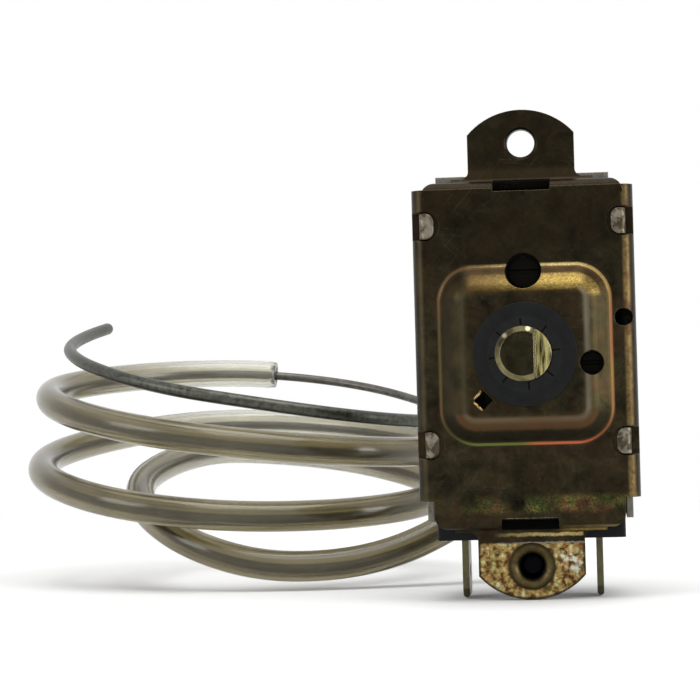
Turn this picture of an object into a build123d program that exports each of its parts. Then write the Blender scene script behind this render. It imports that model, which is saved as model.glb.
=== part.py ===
from build123d import *
import math
import os

# A refrigeration temperature control: pressed housing with two ears, D-shaft, cam and lever
# mechanism, pressure capsule, contact switch and a sleeved capillary with its sensing tube.
# Millimetres. The viewer looks along +Y at the shaft's end, +X is right and +Z is up.
# The origin lies midway between the two ear holes, on the rear face of the ears.

# Sheets
cover_sheet = 0.9
frame_sheet = 0.8

# Clearances
nest_gap = 0.1
running_gap = 0.15
slot_gap = 0.05

# Front cover
case_half_width = 13.2
cover_bend_radius = 1.85
cover_flange_depth = 9.0
flange_top_z = 19.9
flange_bottom_z = -17.25
lip_z = 20.75
top_lip_half_width = 12.0
lip_corner_radius = 1.7
lip_bend_radius = 1.4
ear_bend_radius = 0.6
ear_setback = 3.0
relief_half_width = 3.4
relief_height = 1.35

# Ears
ear_hole_spacing = 50.8
ear_hole_radius = 1.65
ear_half_width = 6.4
ear_side_rise = 1.1
ear_rim = 4.0
top_shoulder_width = 2.1
bottom_shoulder_width = 2.7
shoulder_height = 0.5
shoulder_fillet = 0.9
collar_radius = 2.35
collar_length = 1.1
top_flare = 0.6
bottom_flare = 0.85

# Raised boss
boss_side_margin = 1.2
boss_height = 21.1
boss_corner_radius = 4.2
boss_rise = 2.5
boss_slope = 44.0
boss_edge_radius = 3.0
boss_foot_radius = 1.3

# Holes in the cover
access_hole_z = 9.9
access_hole_radius = 2.15
side_hole_inset = 2.35
side_hole_z = -1.2
side_hole_radius = 1.4
edge_hole_inset = 1.5
edge_hole_z = 4.1
edge_hole_radius = 1.05
notch_x = -5.0
notch_z = -5.35
notch_size = 1.6

# Lugs and their pockets
upper_lug_z = 15.55
lower_lug_z = -10.55
lug_height = 3.05
lug_reach = 1.7
lug_corner_radius = 1.0
lug_thickness = 0.6
pocket_height = 3.5
pocket_reach = 3.3
pocket_depth = 0.5

# Frame
frame_depth = 15.0
frame_bend_radius = 1.6
top_wall_half_width = 10.4
back_hole_radius = 6.0
nub_height = 2.4
nub_depth = 3.4
nub_z = -16.0

# Shaft, washer and cam
shaft_radius = 3.175
shaft_projection = 10.0
shaft_flat_offset = 1.32
shaft_flat_length = 7.0
shaft_chamfer = 0.6
stub_radius = 2.0
washer_radius = 6.15
washer_thickness = 0.5
washer_cone_radius = 4.5
washer_cone_rise = 0.35
washer_slits = 8
washer_slit_width = 0.25
washer_slit_radius = 4.2
cam_radius = 6.2
cam_disc_thickness = 1.35
ramp_inner_radius = 3.6
ramp_outer_radius = 6.0
ramp_rise = 2.0
ramp_sweep = 270.0
ramp_steps = 18
hub_radius = 3.0

# Rocker, its pin, the range screw and its spring
rocker_front_y = 0.0
rocker_thickness = 1.0
rocker_half_width = 5.2
rocker_foot_half_width = 8.2
rocker_pin_radius = 0.9
rocker_pin_y = 2.4
rocker_pin_z = -9.5
rocker_eye_radius = 1.9
nose_radius = 1.0
nose_z = 5.0
screw_shank_radius = 1.2
screw_head_radius = 1.9
screw_head_height = 1.0
screw_slot_width = 0.5
range_screw_length = 7.4
nut_front_y = 3.5
nut_thickness = 1.2
nut_width = 5.6
nut_spigot_length = 0.5
spring_radius = 2.65
spring_wire = 0.7
spring_turns = 4

# Main lever and its pin
lever_to_back = 5.5
lever_thickness = 1.0
lever_pin_radius = 1.0
lever_pin_ahead = 2.0
lever_pin_z = 16.5
lever_eye_radius = 2.0
lever_half_width = 6.0
lever_foot_half_width = 2.6
lever_foot_z = -17.4
lever_stop_width = 9.4

# Pressure capsule
capsule_z = 3.0
capsule_radius = 9.5
capsule_skin = 0.6
capsule_rim = 1.4
capsule_dome = 2.6
pad_radius = 4.2
pad_nose_radius = 1.6
diaphragm_thickness = 0.25
ferrule_x = 3.0
ferrule_drop = 4.5
ferrule_radius = 1.5
ferrule_length = 2.2

# Switch
base_side_gap = 0.15
base_top_z = -12.5
base_floor_z = -18.3
base_bottom_z = -22.2
base_wall = 1.3
base_edge_radius = 0.5
terminal_inset = 3.2
terminal_thickness = 0.8
terminal_width = 6.35
terminal_front_y = 1.8
terminal_tip_z = -29.3
terminal_hole_radius = 0.85
terminal_hole_rise = 3.2
terminal_top_z = -14.2
blade_y = 5.9
blade_thickness = 0.2
blade_half_height = 1.6
blade_z = -16.0
blade_pivot_inset = 1.9
contact_inset = 3.1
contact_radius = 1.25
moving_contact_height = 0.4
fixed_contact_height = 0.55
rivet_radius = 0.7
rivet_head_radius = 1.2
rivet_head_height = 0.5
peg_x = -1.0
peg_radius = 1.1
peg_head_height = 0.4

# Differential screw and its bracket
differential_head_y = -2.4
differential_head_height = 1.2
differential_head_radius = 1.3
differential_shank_radius = 1.0
bracket_front_y = 0.2
bracket_height = 4.4

# Capillary, its sleeve and the sensing tube
capillary_radius = 0.6
sleeve_radius = 2.0
sleeve_bore_radius = 1.1
bulb_radius = 0.85

# Route of the capillary from the ferrule to the coil's first front crossing
exit_points = [
    (3.0, 24.0, -1.5),
    (2.2, 28.4, -4.6),
    (0.9, 30.6, -9.2),
    (-1.4, 30.6, -13.8),
    (-5.0, 28.8, -18.0),
    (-10.4, 25.9, -21.6),
    (-17.6, 23.2, -25.0),
    (-25.8, 21.2, -26.6),
]

# Quarter points of the loose coil: front, left, back and right of each turn
coil_quarters = [
    (-35.9, 20.5, -26.4),
    (-55.4, 43.0, -16.2),
    (-44.0, 67.0, -12.2),
    (-12.8, 47.0, -18.5),
    (-40.5, 20.0, -19.9),
    (-70.4, 48.5, -13.0),
    (-46.8, 77.0, -8.4),
    (-13.2, 49.0, -12.6),
    (-38.0, 20.5, -10.5),
    (-69.2, 49.0, -3.2),
    (-41.4, 77.0, -1.2),
    (-11.6, 50.0, -8.3),
    (-33.1, 20.5, -5.6),
    (-66.8, 51.0, 4.0),
    (-41.9, 80.0, 8.5),
]
stations_per_quarter = 3
coil_stations = 40
sleeve_first_run = 4
sleeve_last_station = 30
sleeve_last_arc_share = 0.6
bulb_first_station = 33

# Places worked out from the sizes above
ear_front_y = -cover_sheet
cover_front_y = ear_front_y - ear_setback
cover_inside_y = cover_front_y + cover_sheet
flange_rear_y = cover_front_y + cover_flange_depth
flat_half_width = case_half_width - cover_bend_radius
boss_width = 2 * (flat_half_width - boss_side_margin)
side_hole_x = boss_width / 2 - side_hole_inset
edge_hole_x = case_half_width - edge_hole_inset
top_shoulder_half_width = ear_half_width + top_shoulder_width
bottom_shoulder_half_width = ear_half_width + bottom_shoulder_width
ear_hole_z = ear_hole_spacing / 2
ear_side_z = ear_hole_z + ear_side_rise
ear_peak_z = ear_hole_z + ear_rim
lip_inside_z = lip_z - cover_sheet
boss_front_y = cover_front_y - boss_rise
boss_inside_y = boss_front_y + cover_sheet
frame_half_width = case_half_width - cover_sheet - slot_gap
frame_inside_x = frame_half_width - frame_sheet
base_half_width = frame_inside_x - base_side_gap
terminal_x = base_half_width - terminal_inset
blade_pivot_x = terminal_x - blade_pivot_inset
contact_x = contact_inset - terminal_x
wall_front_y = cover_front_y + cover_bend_radius
frame_front_y = cover_inside_y + nest_gap
back_wall_y = frame_depth - frame_sheet
wall_end_z = lip_inside_z - nest_gap
top_wall_z = lip_z + nest_gap + frame_sheet
shaft_tip_y = boss_front_y - shaft_projection
cam_front_y = boss_inside_y + running_gap
ramp_foot_y = cam_front_y + cam_disc_thickness
ramp_middle_y = ramp_foot_y + ramp_rise / 2
ramp_peak_y = ramp_foot_y + ramp_rise
hub_rear_y = ramp_peak_y - 0.6
nose_tip_y = ramp_middle_y + nest_gap
rocker_rear_y = rocker_front_y + rocker_thickness
nut_rear_y = nut_front_y + nut_thickness
lever_front_y = frame_depth - lever_to_back
lever_pin_y = lever_front_y - lever_pin_ahead
lever_rear_y = lever_front_y + lever_thickness
capsule_front_y = frame_depth + slot_gap
diaphragm_y = capsule_front_y + capsule_skin + slot_gap
capsule_back_y = diaphragm_y + diaphragm_thickness + slot_gap
base_rear_y = back_wall_y - nest_gap
cavity_rear_y = base_rear_y - base_wall + 0.2
cavity_front_y = frame_front_y + base_wall
blade_rear_y = blade_y + blade_thickness
capsule_rear_y = capsule_back_y + capsule_skin + capsule_dome
ferrule_z = capsule_z - ferrule_drop


def face_at(y):
    """Plane at the given y that faces the viewer, with x to the right and z up."""
    return Plane.XZ.offset(-y)


def save(piece, name):
    """Label a finished piece and write its file."""
    piece.label = name
    export_step(piece, f"parts/{name}.step")


def bent_end(side, lip_half_width, lip_root_z, shoulder_half_width):
    """Plate end, lip and ear bent from one strip: side 1 is the upper end, -1 the lower."""
    strip_root_z = -flange_bottom_z - 1
    shoulder_z = lip_z + shoulder_height
    with BuildPart() as end:
        with BuildSketch(Plane.YZ):
            with BuildLine():
                FilletPolyline(
                    (cover_front_y, side * strip_root_z),
                    (cover_front_y, side * lip_z),
                    (ear_front_y, side * lip_z),
                    (ear_front_y, side * (ear_peak_z + 1)),
                    radius=[lip_bend_radius, ear_bend_radius],
                )
                offset(amount=cover_sheet, side=Side.RIGHT if side > 0 else Side.LEFT)
            make_face()
        extrude(amount=case_half_width, both=True)
        with BuildSketch(face_at(ear_hole_z)) as outline:
            with Locations((0, side * (lip_z + strip_root_z) / 2)):
                Rectangle(2 * flat_half_width, lip_z - strip_root_z)
            with Locations((0, side * (lip_z + lip_root_z) / 2)):
                Rectangle(2 * lip_half_width, lip_z - lip_root_z)
            lip_corners = outline.vertices().filter_by(
                lambda v: abs(abs(v.X) - lip_half_width) < 0.01 and abs(abs(v.Y) - lip_z) < 0.01
            )
            fillet(lip_corners, lip_corner_radius)
            with Locations((0, side * (shoulder_z + strip_root_z) / 2)):
                Rectangle(2 * shoulder_half_width, shoulder_z - strip_root_z)
            with BuildLine():
                Polyline(
                    (-ear_half_width, side * ear_side_z),
                    (-ear_half_width, side * strip_root_z),
                    (ear_half_width, side * strip_root_z),
                    (ear_half_width, side * ear_side_z),
                )
                ThreePointArc(
                    (-ear_half_width, side * ear_side_z),
                    (0, side * ear_peak_z),
                    (ear_half_width, side * ear_side_z),
                )
            make_face()
            ear_corners = outline.vertices().filter_by(
                lambda v: abs(abs(v.X) - ear_half_width) < 0.01 and abs(abs(v.Y) - shoulder_z) < 0.01
            )
            fillet(ear_corners, shoulder_fillet)
        extrude(amount=2 * ear_hole_z, both=True, mode=Mode.INTERSECT)
    return end.part


def boss_form(width, height, corner, base_y, backing, edge_radius, foot_radius):
    """Boss with rounded edge and foot, on a flat backing behind its base."""
    with BuildPart() as form:
        with BuildSketch(face_at(base_y)):
            RectangleRounded(width, height, corner)
        extrude(amount=boss_rise, taper=boss_slope)
        front_edges = form.faces().sort_by(Axis.Y)[0].edges()
        fillet(front_edges, edge_radius)
        with BuildSketch(face_at(base_y + backing)):
            Rectangle(2 * flat_half_width, height + 4)
        extrude(amount=backing)
        foot_edges = form.edges().filter_by(
            lambda e: abs(e.bounding_box().min.Y - base_y) < 0.001
            and abs(e.bounding_box().max.Y - base_y) < 0.001
            and e.bounding_box().max.X < width / 2 + 0.01
            and e.bounding_box().min.X > -width / 2 - 0.01
            and e.bounding_box().max.Z < height / 2 + 0.01
            and e.bounding_box().min.Z > -height / 2 - 0.01
        )
        fillet(foot_edges, foot_radius)
    return form.part


os.makedirs("parts", exist_ok=True)

# Front cover: one pressed and folded sheet
upper_end = bent_end(1, top_lip_half_width, flange_top_z - 1, top_shoulder_half_width)
lower_end = bent_end(-1, flat_half_width, -flange_bottom_z, bottom_shoulder_half_width)
skin_shift = cover_sheet * math.tan(math.radians((90 - boss_slope) / 2))
boss_outside = boss_form(
    boss_width, boss_height, boss_corner_radius,
    cover_front_y, cover_sheet, boss_edge_radius, boss_foot_radius,
)
boss_inside = boss_form(
    boss_width - 2 * skin_shift, boss_height - 2 * skin_shift, boss_corner_radius - skin_shift,
    cover_inside_y, cover_sheet, boss_edge_radius - cover_sheet, boss_foot_radius + cover_sheet,
)

with BuildPart() as front_cover:
    with BuildSketch(Plane.XY.offset(flange_bottom_z)):
        with BuildLine():
            FilletPolyline(
                (-case_half_width, flange_rear_y),
                (-case_half_width, cover_front_y),
                (case_half_width, cover_front_y),
                (case_half_width, flange_rear_y),
                radius=cover_bend_radius,
            )
            offset(amount=cover_sheet, side=Side.LEFT)
        make_face()
    extrude(amount=flange_top_z - flange_bottom_z)
    add(upper_end)
    add(lower_end)
    add(boss_outside)
    add(boss_inside, mode=Mode.SUBTRACT)

    # Shaft bore and the holes through plate and boss
    with BuildSketch(face_at(cover_inside_y)):
        Circle(shaft_radius + running_gap)
        with Locations((0, access_hole_z)):
            Circle(access_hole_radius)
        with Locations((side_hole_x, side_hole_z)):
            Circle(side_hole_radius)
        with Locations((notch_x, notch_z)):
            Rectangle(notch_size, notch_size, rotation=45)
        with Locations((edge_hole_x, edge_hole_z)):
            Circle(edge_hole_radius)
    extrude(amount=boss_rise + 2 * cover_sheet, mode=Mode.SUBTRACT)

    # Relief slots across the middle of both lip bends
    for side in (1, -1):
        with BuildSketch(face_at(ear_front_y - ear_bend_radius)):
            with Locations((0, side * (lip_z + 0.1 - relief_height / 2))):
                Rectangle(2 * relief_half_width, relief_height)
        extrude(amount=ear_setback, mode=Mode.SUBTRACT)

    # Lug pockets: a coined D-shaped recess with a slot through the bend
    for side in (1, -1):
        for lug_z in (upper_lug_z, lower_lug_z):
            round_x = case_half_width - pocket_reach + pocket_height / 2
            with BuildSketch(face_at(cover_front_y + pocket_depth)):
                with Locations((side * round_x, lug_z)):
                    Circle(pocket_height / 2)
                with Locations((side * (round_x + case_half_width) / 2, lug_z)):
                    Rectangle(case_half_width - round_x + 0.2, pocket_height)
            extrude(amount=pocket_depth + cover_sheet, mode=Mode.SUBTRACT)
            with BuildSketch(face_at(cover_front_y + cover_bend_radius - 0.3)):
                with Locations((side * frame_half_width, lug_z)):
                    Rectangle(2 * frame_sheet + 0.5, lug_height + 2 * nest_gap)
            extrude(amount=cover_bend_radius, mode=Mode.SUBTRACT)

    # Drawn screw holes in the ears: collar behind, flared rim in front
    for side in (1, -1):
        with BuildSketch(face_at(collar_length)):
            with Locations((0, side * ear_hole_z)):
                Circle(collar_radius)
        extrude(amount=collar_length)
        with BuildSketch(face_at(collar_length)):
            with Locations((0, side * ear_hole_z)):
                Circle(ear_hole_radius)
        extrude(amount=collar_length + cover_sheet, mode=Mode.SUBTRACT)
    rims = (
        front_cover.edges()
        .filter_by(GeomType.CIRCLE)
        .filter_by(lambda e: abs(e.radius - ear_hole_radius) < 0.001)
        .filter_by(lambda e: abs(e.arc_center.Y - ear_front_y) < 0.001)
        .sort_by(Axis.Z)
    )
    fillet(rims[0], bottom_flare)
    fillet(rims[-1], top_flare)
save(front_cover.part, "front_cover")

# Inner frame: walls, top flap, folded lugs and the screw bracket
with BuildPart() as inner_frame:
    with BuildSketch(Plane.XY.offset(-wall_end_z)):
        with BuildLine():
            FilletPolyline(
                (-frame_half_width, wall_front_y),
                (-frame_half_width, frame_depth),
                (frame_half_width, frame_depth),
                (frame_half_width, wall_front_y),
                radius=frame_bend_radius,
            )
            offset(amount=frame_sheet, side=Side.RIGHT)
        make_face()
    extrude(amount=2 * wall_end_z)
    with BuildSketch(Plane.YZ):
        with BuildLine():
            FilletPolyline(
                (nest_gap, top_wall_z),
                (frame_depth, top_wall_z),
                (frame_depth, wall_end_z - 1),
                radius=frame_bend_radius,
            )
            offset(amount=frame_sheet, side=Side.RIGHT)
        make_face()
    extrude(amount=top_wall_half_width, both=True)

    # Lugs: through the cover's slots and folded in over its pockets
    lug_front_y = cover_front_y + pocket_depth - slot_gap - lug_thickness
    for side in (1, -1):
        for lug_z in (upper_lug_z, lower_lug_z):
            with BuildSketch(Plane.XY.offset(lug_z - lug_height / 2)):
                with BuildLine():
                    FilletPolyline(
                        (side * frame_half_width, wall_front_y + 0.5),
                        (side * frame_half_width, lug_front_y),
                        (side * (frame_half_width - lug_reach), lug_front_y),
                        radius=lug_thickness + 0.1,
                    )
                    offset(amount=lug_thickness, side=Side.RIGHT if side > 0 else Side.LEFT)
                make_face()
            extrude(amount=lug_height)
            lug_end = inner_frame.edges().filter_by(Axis.Y).filter_by(
                lambda e: abs(abs(e.center().X) - frame_half_width + lug_reach) < 0.01
                and abs(e.center().Z - lug_z) < lug_height
                and side * e.center().X > 0
                and e.center().Y < cover_inside_y
            )
            fillet(lug_end, lug_corner_radius)

    # Opening in the back wall for the pressure pad
    with BuildSketch(face_at(frame_depth)):
        with Locations((0, capsule_z)):
            Circle(back_hole_radius)
    extrude(amount=frame_sheet, mode=Mode.SUBTRACT)

    # Windows that hold the base, and the holes of both pins
    with BuildSketch(Plane.YZ):
        with Locations((frame_front_y + 4, nub_z)):
            Rectangle(nub_depth + 2 * nest_gap, nub_height + 2 * nest_gap)
        with Locations((rocker_pin_y, rocker_pin_z)):
            Circle(rocker_pin_radius + slot_gap)
        with Locations((lever_pin_y, lever_pin_z)):
            Circle(lever_pin_radius + slot_gap)
    extrude(amount=case_half_width, both=True, mode=Mode.SUBTRACT)

    # Bracket for the differential screw, folded in from the right wall
    bracket_left_x = side_hole_x - differential_shank_radius - 1.4
    with BuildSketch(face_at(bracket_front_y + frame_sheet)):
        with Locations(((bracket_left_x + frame_half_width) / 2, side_hole_z)):
            Rectangle(frame_half_width - bracket_left_x, bracket_height)
        with Locations((side_hole_x, side_hole_z)):
            Circle(differential_shank_radius + slot_gap, mode=Mode.SUBTRACT)
    extrude(amount=frame_sheet)
    with BuildSketch(Plane.YZ.offset(frame_inside_x - nest_gap)):
        with Locations((bracket_front_y + frame_sheet + 3, side_hole_z)):
            Rectangle(6, bracket_height)
    extrude(amount=2 * frame_sheet, mode=Mode.SUBTRACT)
save(inner_frame.part, "inner_frame")

# Shaft: round journal, D-shaped end, stub for the cam
with BuildPart() as drive_shaft:
    with BuildSketch(face_at(cam_front_y)):
        Circle(shaft_radius)
    extrude(amount=cam_front_y - shaft_tip_y)
    chamfer(drive_shaft.faces().sort_by(Axis.Y)[0].edges(), shaft_chamfer)
    with BuildSketch(face_at(shaft_tip_y + shaft_flat_length)):
        with Locations((shaft_flat_offset + shaft_radius, 0)):
            Rectangle(2 * shaft_radius, 2.2 * shaft_radius)
    extrude(amount=shaft_flat_length + 1, mode=Mode.SUBTRACT)
    with BuildSketch(face_at(hub_rear_y)):
        Circle(stub_radius)
        with Locations((0, -stub_radius)):
            Rectangle(2 * stub_radius, stub_radius / 2, mode=Mode.SUBTRACT)
    extrude(amount=hub_rear_y - cam_front_y)
save(drive_shaft.part, "drive_shaft")

# Push-on washer: flat rim, coned centre, radial slits
washer_rear_y = boss_front_y - nest_gap
washer_bore = shaft_radius + slot_gap
with BuildPart() as shaft_washer:
    with BuildSketch(Plane.XY):
        with BuildLine():
            Polyline(
                (washer_radius, washer_rear_y),
                (washer_cone_radius, washer_rear_y),
                (washer_bore, washer_rear_y - washer_cone_rise),
                (washer_bore, washer_rear_y - washer_cone_rise - washer_thickness),
                (washer_cone_radius, washer_rear_y - washer_thickness),
                (washer_radius, washer_rear_y - washer_thickness),
                close=True,
            )
        make_face()
    revolve(axis=Axis.Y)
    with BuildSketch(face_at(washer_rear_y)):
        with PolarLocations(0, washer_slits, start_angle=6):
            with Locations((washer_slit_radius / 2, 0)):
                Rectangle(washer_slit_radius, washer_slit_width)
    extrude(amount=2, mode=Mode.SUBTRACT)
    chamfer(shaft_washer.edges().filter_by(GeomType.CIRCLE).sort_by(SortBy.RADIUS)[-1], 0.15)
save(shaft_washer.part, "shaft_washer")

# Face cam: disc and hub with a ramp that climbs clockwise, as the viewer sees it
ramp_sections = []
for step in range(ramp_steps + 1):
    share = step / ramp_steps
    turn = math.radians(ramp_sweep * (share - 0.5))
    section_plane = Plane(
        origin=(0, 0, 0),
        x_dir=(math.sin(turn), 0, math.cos(turn)),
        z_dir=(math.cos(turn), 0, -math.sin(turn)),
    )
    level = ramp_foot_y + ramp_rise * share
    with BuildSketch(section_plane) as section:
        with BuildLine():
            Polyline(
                (ramp_inner_radius, -(ramp_foot_y - 0.4)),
                (ramp_outer_radius, -(ramp_foot_y - 0.4)),
                (ramp_outer_radius, -(level + 0.02)),
                (ramp_inner_radius, -(level + 0.02)),
                close=True,
            )
        make_face()
    ramp_sections.append(section.sketch)

with BuildPart() as face_cam:
    with BuildSketch(face_at(ramp_foot_y)):
        Circle(cam_radius)
    extrude(amount=cam_disc_thickness)
    loft(ramp_sections, ruled=True)
    with BuildSketch(face_at(hub_rear_y)):
        Circle(hub_radius)
    extrude(amount=hub_rear_y - ramp_foot_y)
    with BuildSketch(face_at(hub_rear_y)):
        Circle(stub_radius + slot_gap)
        with Locations((0, -stub_radius)):
            Rectangle(2 * stub_radius, stub_radius / 2 - 2 * slot_gap, mode=Mode.SUBTRACT)
    extrude(amount=hub_rear_y - cam_front_y, mode=Mode.SUBTRACT)
save(face_cam.part, "face_cam")

# Rocker: plate with a nose on the cam, eyes for its pin and a hole for the range screw
with BuildPart() as cam_rocker:
    foot_top_z = rocker_pin_z + rocker_eye_radius + 0.8
    foot_bottom_z = rocker_pin_z - rocker_eye_radius - 0.6
    head_z = access_hole_z + screw_head_radius + 0.7
    with BuildSketch(face_at(rocker_rear_y)) as rocker_plate:
        with Locations((0, (head_z + foot_bottom_z) / 2)):
            Rectangle(2 * rocker_half_width, head_z - foot_bottom_z)
        with Locations((0, (foot_top_z + foot_bottom_z) / 2)):
            Rectangle(2 * rocker_foot_half_width, foot_top_z - foot_bottom_z)
        fillet(rocker_plate.vertices(), 1.0)
        Circle(hub_radius, mode=Mode.SUBTRACT)
        with Locations((0, access_hole_z)):
            Circle(screw_shank_radius + running_gap, mode=Mode.SUBTRACT)
    extrude(amount=rocker_thickness)
    with BuildSketch(Plane.YZ.offset(rocker_foot_half_width - rocker_thickness)):
        with Locations((rocker_pin_y, rocker_pin_z)):
            Circle(rocker_eye_radius)
        with Locations(((rocker_pin_y + rocker_rear_y) / 2, rocker_pin_z)):
            Rectangle(rocker_pin_y - rocker_rear_y, 2 * rocker_eye_radius)
        with Locations((rocker_pin_y, rocker_pin_z)):
            Circle(rocker_pin_radius + nest_gap, mode=Mode.SUBTRACT)
    eye = extrude(amount=rocker_thickness)
    mirror(eye, about=Plane.YZ)
    with BuildSketch(face_at(rocker_front_y)):
        with Locations((0, nose_z)):
            Circle(nose_radius)
    extrude(amount=rocker_front_y - nose_tip_y)
    fillet(cam_rocker.faces().sort_by(Axis.Y)[0].edges(), nose_radius - 0.01)
save(cam_rocker.part, "cam_rocker")


def cross_pin(radius, y, z):
    """Round pin across the frame, chamfered at both ends."""
    with BuildPart() as pin:
        with BuildSketch(Plane.YZ):
            with Locations((y, z)):
                Circle(radius)
        extrude(amount=frame_half_width, both=True)
        chamfer(pin.edges().filter_by(GeomType.CIRCLE), 0.2)
    return pin.part


save(cross_pin(rocker_pin_radius, rocker_pin_y, rocker_pin_z), "rocker_pin")
save(cross_pin(lever_pin_radius, lever_pin_y, lever_pin_z), "lever_pin")


def slotted_screw(x, z, head_y, head_radius, head_height, shank_radius, end_y):
    """Cheese-head screw along +Y with a screwdriver slot."""
    with BuildPart() as screw:
        with BuildSketch(face_at(end_y)):
            with Locations((x, z)):
                Circle(shank_radius)
        extrude(amount=end_y - head_y)
        chamfer(screw.faces().sort_by(Axis.Y)[-1].edges(), 0.25)
        with BuildSketch(face_at(head_y + head_height)):
            with Locations((x, z)):
                Circle(head_radius)
        extrude(amount=head_height)
        with BuildSketch(face_at(head_y + head_height / 2)):
            with Locations((x, z)):
                Rectangle(2.2 * head_radius, screw_slot_width)
        extrude(amount=head_height, mode=Mode.SUBTRACT)
    return screw.part


range_screw = slotted_screw(
    0, access_hole_z, rocker_front_y - slot_gap - screw_head_height, screw_head_radius,
    screw_head_height, screw_shank_radius, rocker_front_y + range_screw_length,
)
save(range_screw, "range_screw")

stop_tip_y = lever_front_y - running_gap
differential_screw = slotted_screw(
    side_hole_x, side_hole_z, differential_head_y, differential_head_radius,
    differential_head_height, differential_shank_radius, stop_tip_y,
)
save(differential_screw, "differential_screw")

# Square nut with a spigot for the spring
with BuildPart() as spring_nut:
    with BuildSketch(face_at(nut_rear_y)) as nut_face:
        with Locations((0, access_hole_z)):
            RectangleRounded(nut_width, nut_width, 0.6)
    extrude(amount=nut_thickness)
    with BuildSketch(face_at(nut_rear_y + nut_spigot_length)):
        with Locations((0, access_hole_z)):
            Circle(spring_radius - spring_wire / 2 - running_gap)
    extrude(amount=nut_spigot_length)
    with BuildSketch(face_at(nut_rear_y + nut_spigot_length)):
        with Locations((0, access_hole_z)):
            Circle(screw_shank_radius + slot_gap)
    extrude(amount=nut_thickness + nut_spigot_length, mode=Mode.SUBTRACT)
save(spring_nut.part, "spring_nut")

# Range spring: an open coil between the nut and the lever
coil_start_y = nut_rear_y + slot_gap + spring_wire / 2
coil_end_y = lever_front_y - slot_gap - spring_wire / 2
coil_points_per_turn = 8
coil_count = spring_turns * coil_points_per_turn
coil_points = [
    (
        spring_radius * math.cos(2 * math.pi * step / coil_points_per_turn),
        coil_start_y + (coil_end_y - coil_start_y) * step / coil_count,
        access_hole_z + spring_radius * math.sin(2 * math.pi * step / coil_points_per_turn),
    )
    for step in range(coil_count + 1)
]
coil_run = 2 * spring_radius * math.sin(math.pi / coil_points_per_turn)
with BuildPart() as range_spring:
    with BuildLine() as coil_path:
        FilletPolyline(*coil_points, radius=0.9 * coil_run / 2 / math.tan(math.pi / coil_points_per_turn))
    with BuildSketch(Plane(origin=coil_path.line @ 0, z_dir=coil_path.line % 0)):
        Circle(spring_wire / 2)
    sweep()
save(range_spring.part, "range_spring")

# Main lever: plate, pin eyes, stop tab and foot
with BuildPart() as main_lever:
    with BuildSketch(face_at(lever_rear_y)) as lever_plate:
        with BuildLine():
            half = Polyline(
                (0, lever_pin_z + 1),
                (lever_half_width, lever_pin_z + 1),
                (lever_half_width, capsule_z - pad_radius),
                (lever_foot_half_width, base_top_z + 2),
                (lever_foot_half_width, lever_foot_z),
                (0, lever_foot_z),
            )
            mirror(half, about=Plane.YZ)
        make_face()
        with Locations((lever_stop_width / 2, side_hole_z)):
            Rectangle(lever_stop_width, bracket_height)
        fillet(lever_plate.vertices(), 0.8)
        with Locations((peg_x, blade_z)):
            Circle(peg_radius * 0.7 + slot_gap, mode=Mode.SUBTRACT)
    extrude(amount=lever_thickness)
    with BuildSketch(Plane.YZ.offset(lever_half_width - lever_thickness)):
        with Locations((lever_pin_y, lever_pin_z)):
            Circle(lever_eye_radius)
        with Locations(((lever_pin_y + lever_rear_y) / 2, lever_pin_z - lever_eye_radius / 2)):
            Rectangle(lever_rear_y - lever_pin_y, lever_eye_radius)
        with Locations((lever_pin_y, lever_pin_z)):
            Circle(lever_pin_radius + nest_gap, mode=Mode.SUBTRACT)
    ear = extrude(amount=lever_thickness)
    mirror(ear, about=Plane.YZ)
save(main_lever.part, "main_lever")

# Insulating peg through the lever's foot
with BuildPart() as insulating_tip:
    with BuildSketch(face_at(lever_front_y - slot_gap)):
        with Locations((peg_x, blade_z)):
            Circle(peg_radius)
    extrude(amount=lever_front_y - slot_gap - blade_rear_y - running_gap)
    fillet(insulating_tip.faces().sort_by(Axis.Y)[0].edges(), 0.4)
    with BuildSketch(face_at(lever_rear_y + slot_gap + peg_head_height)):
        with Locations((peg_x, blade_z)):
            Circle(peg_radius * 0.7)
    extrude(amount=lever_thickness + 2 * slot_gap + peg_head_height)
    with BuildSketch(face_at(lever_rear_y + slot_gap + peg_head_height)):
        with Locations((peg_x, blade_z)):
            Circle(peg_radius)
    extrude(amount=peg_head_height)
save(insulating_tip.part, "insulating_tip")

# Pressure pad between the diaphragm and the lever
with BuildPart() as pressure_pad:
    with BuildSketch(face_at(diaphragm_y - slot_gap)):
        with Locations((0, capsule_z)):
            Circle(pad_radius)
    extrude(amount=capsule_skin + frame_sheet)
    fillet(pressure_pad.edges().filter_by(GeomType.CIRCLE), 0.25)
    with BuildSketch(face_at(diaphragm_y - slot_gap - capsule_skin)):
        with Locations((0, capsule_z)):
            Circle(pad_nose_radius)
    extrude(amount=diaphragm_y - slot_gap - capsule_skin - lever_rear_y - running_gap)
    fillet(pressure_pad.faces().sort_by(Axis.Y)[0].edges(), 0.5)
save(pressure_pad.part, "pressure_pad")

# Capsule: front ring, corrugated diaphragm and domed back
with BuildPart() as capsule_front:
    with BuildSketch(face_at(capsule_front_y + capsule_skin)):
        with Locations((0, capsule_z)):
            Circle(capsule_radius)
            Circle(back_hole_radius, mode=Mode.SUBTRACT)
    extrude(amount=capsule_skin)
save(capsule_front.part, "capsule_front")

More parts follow.
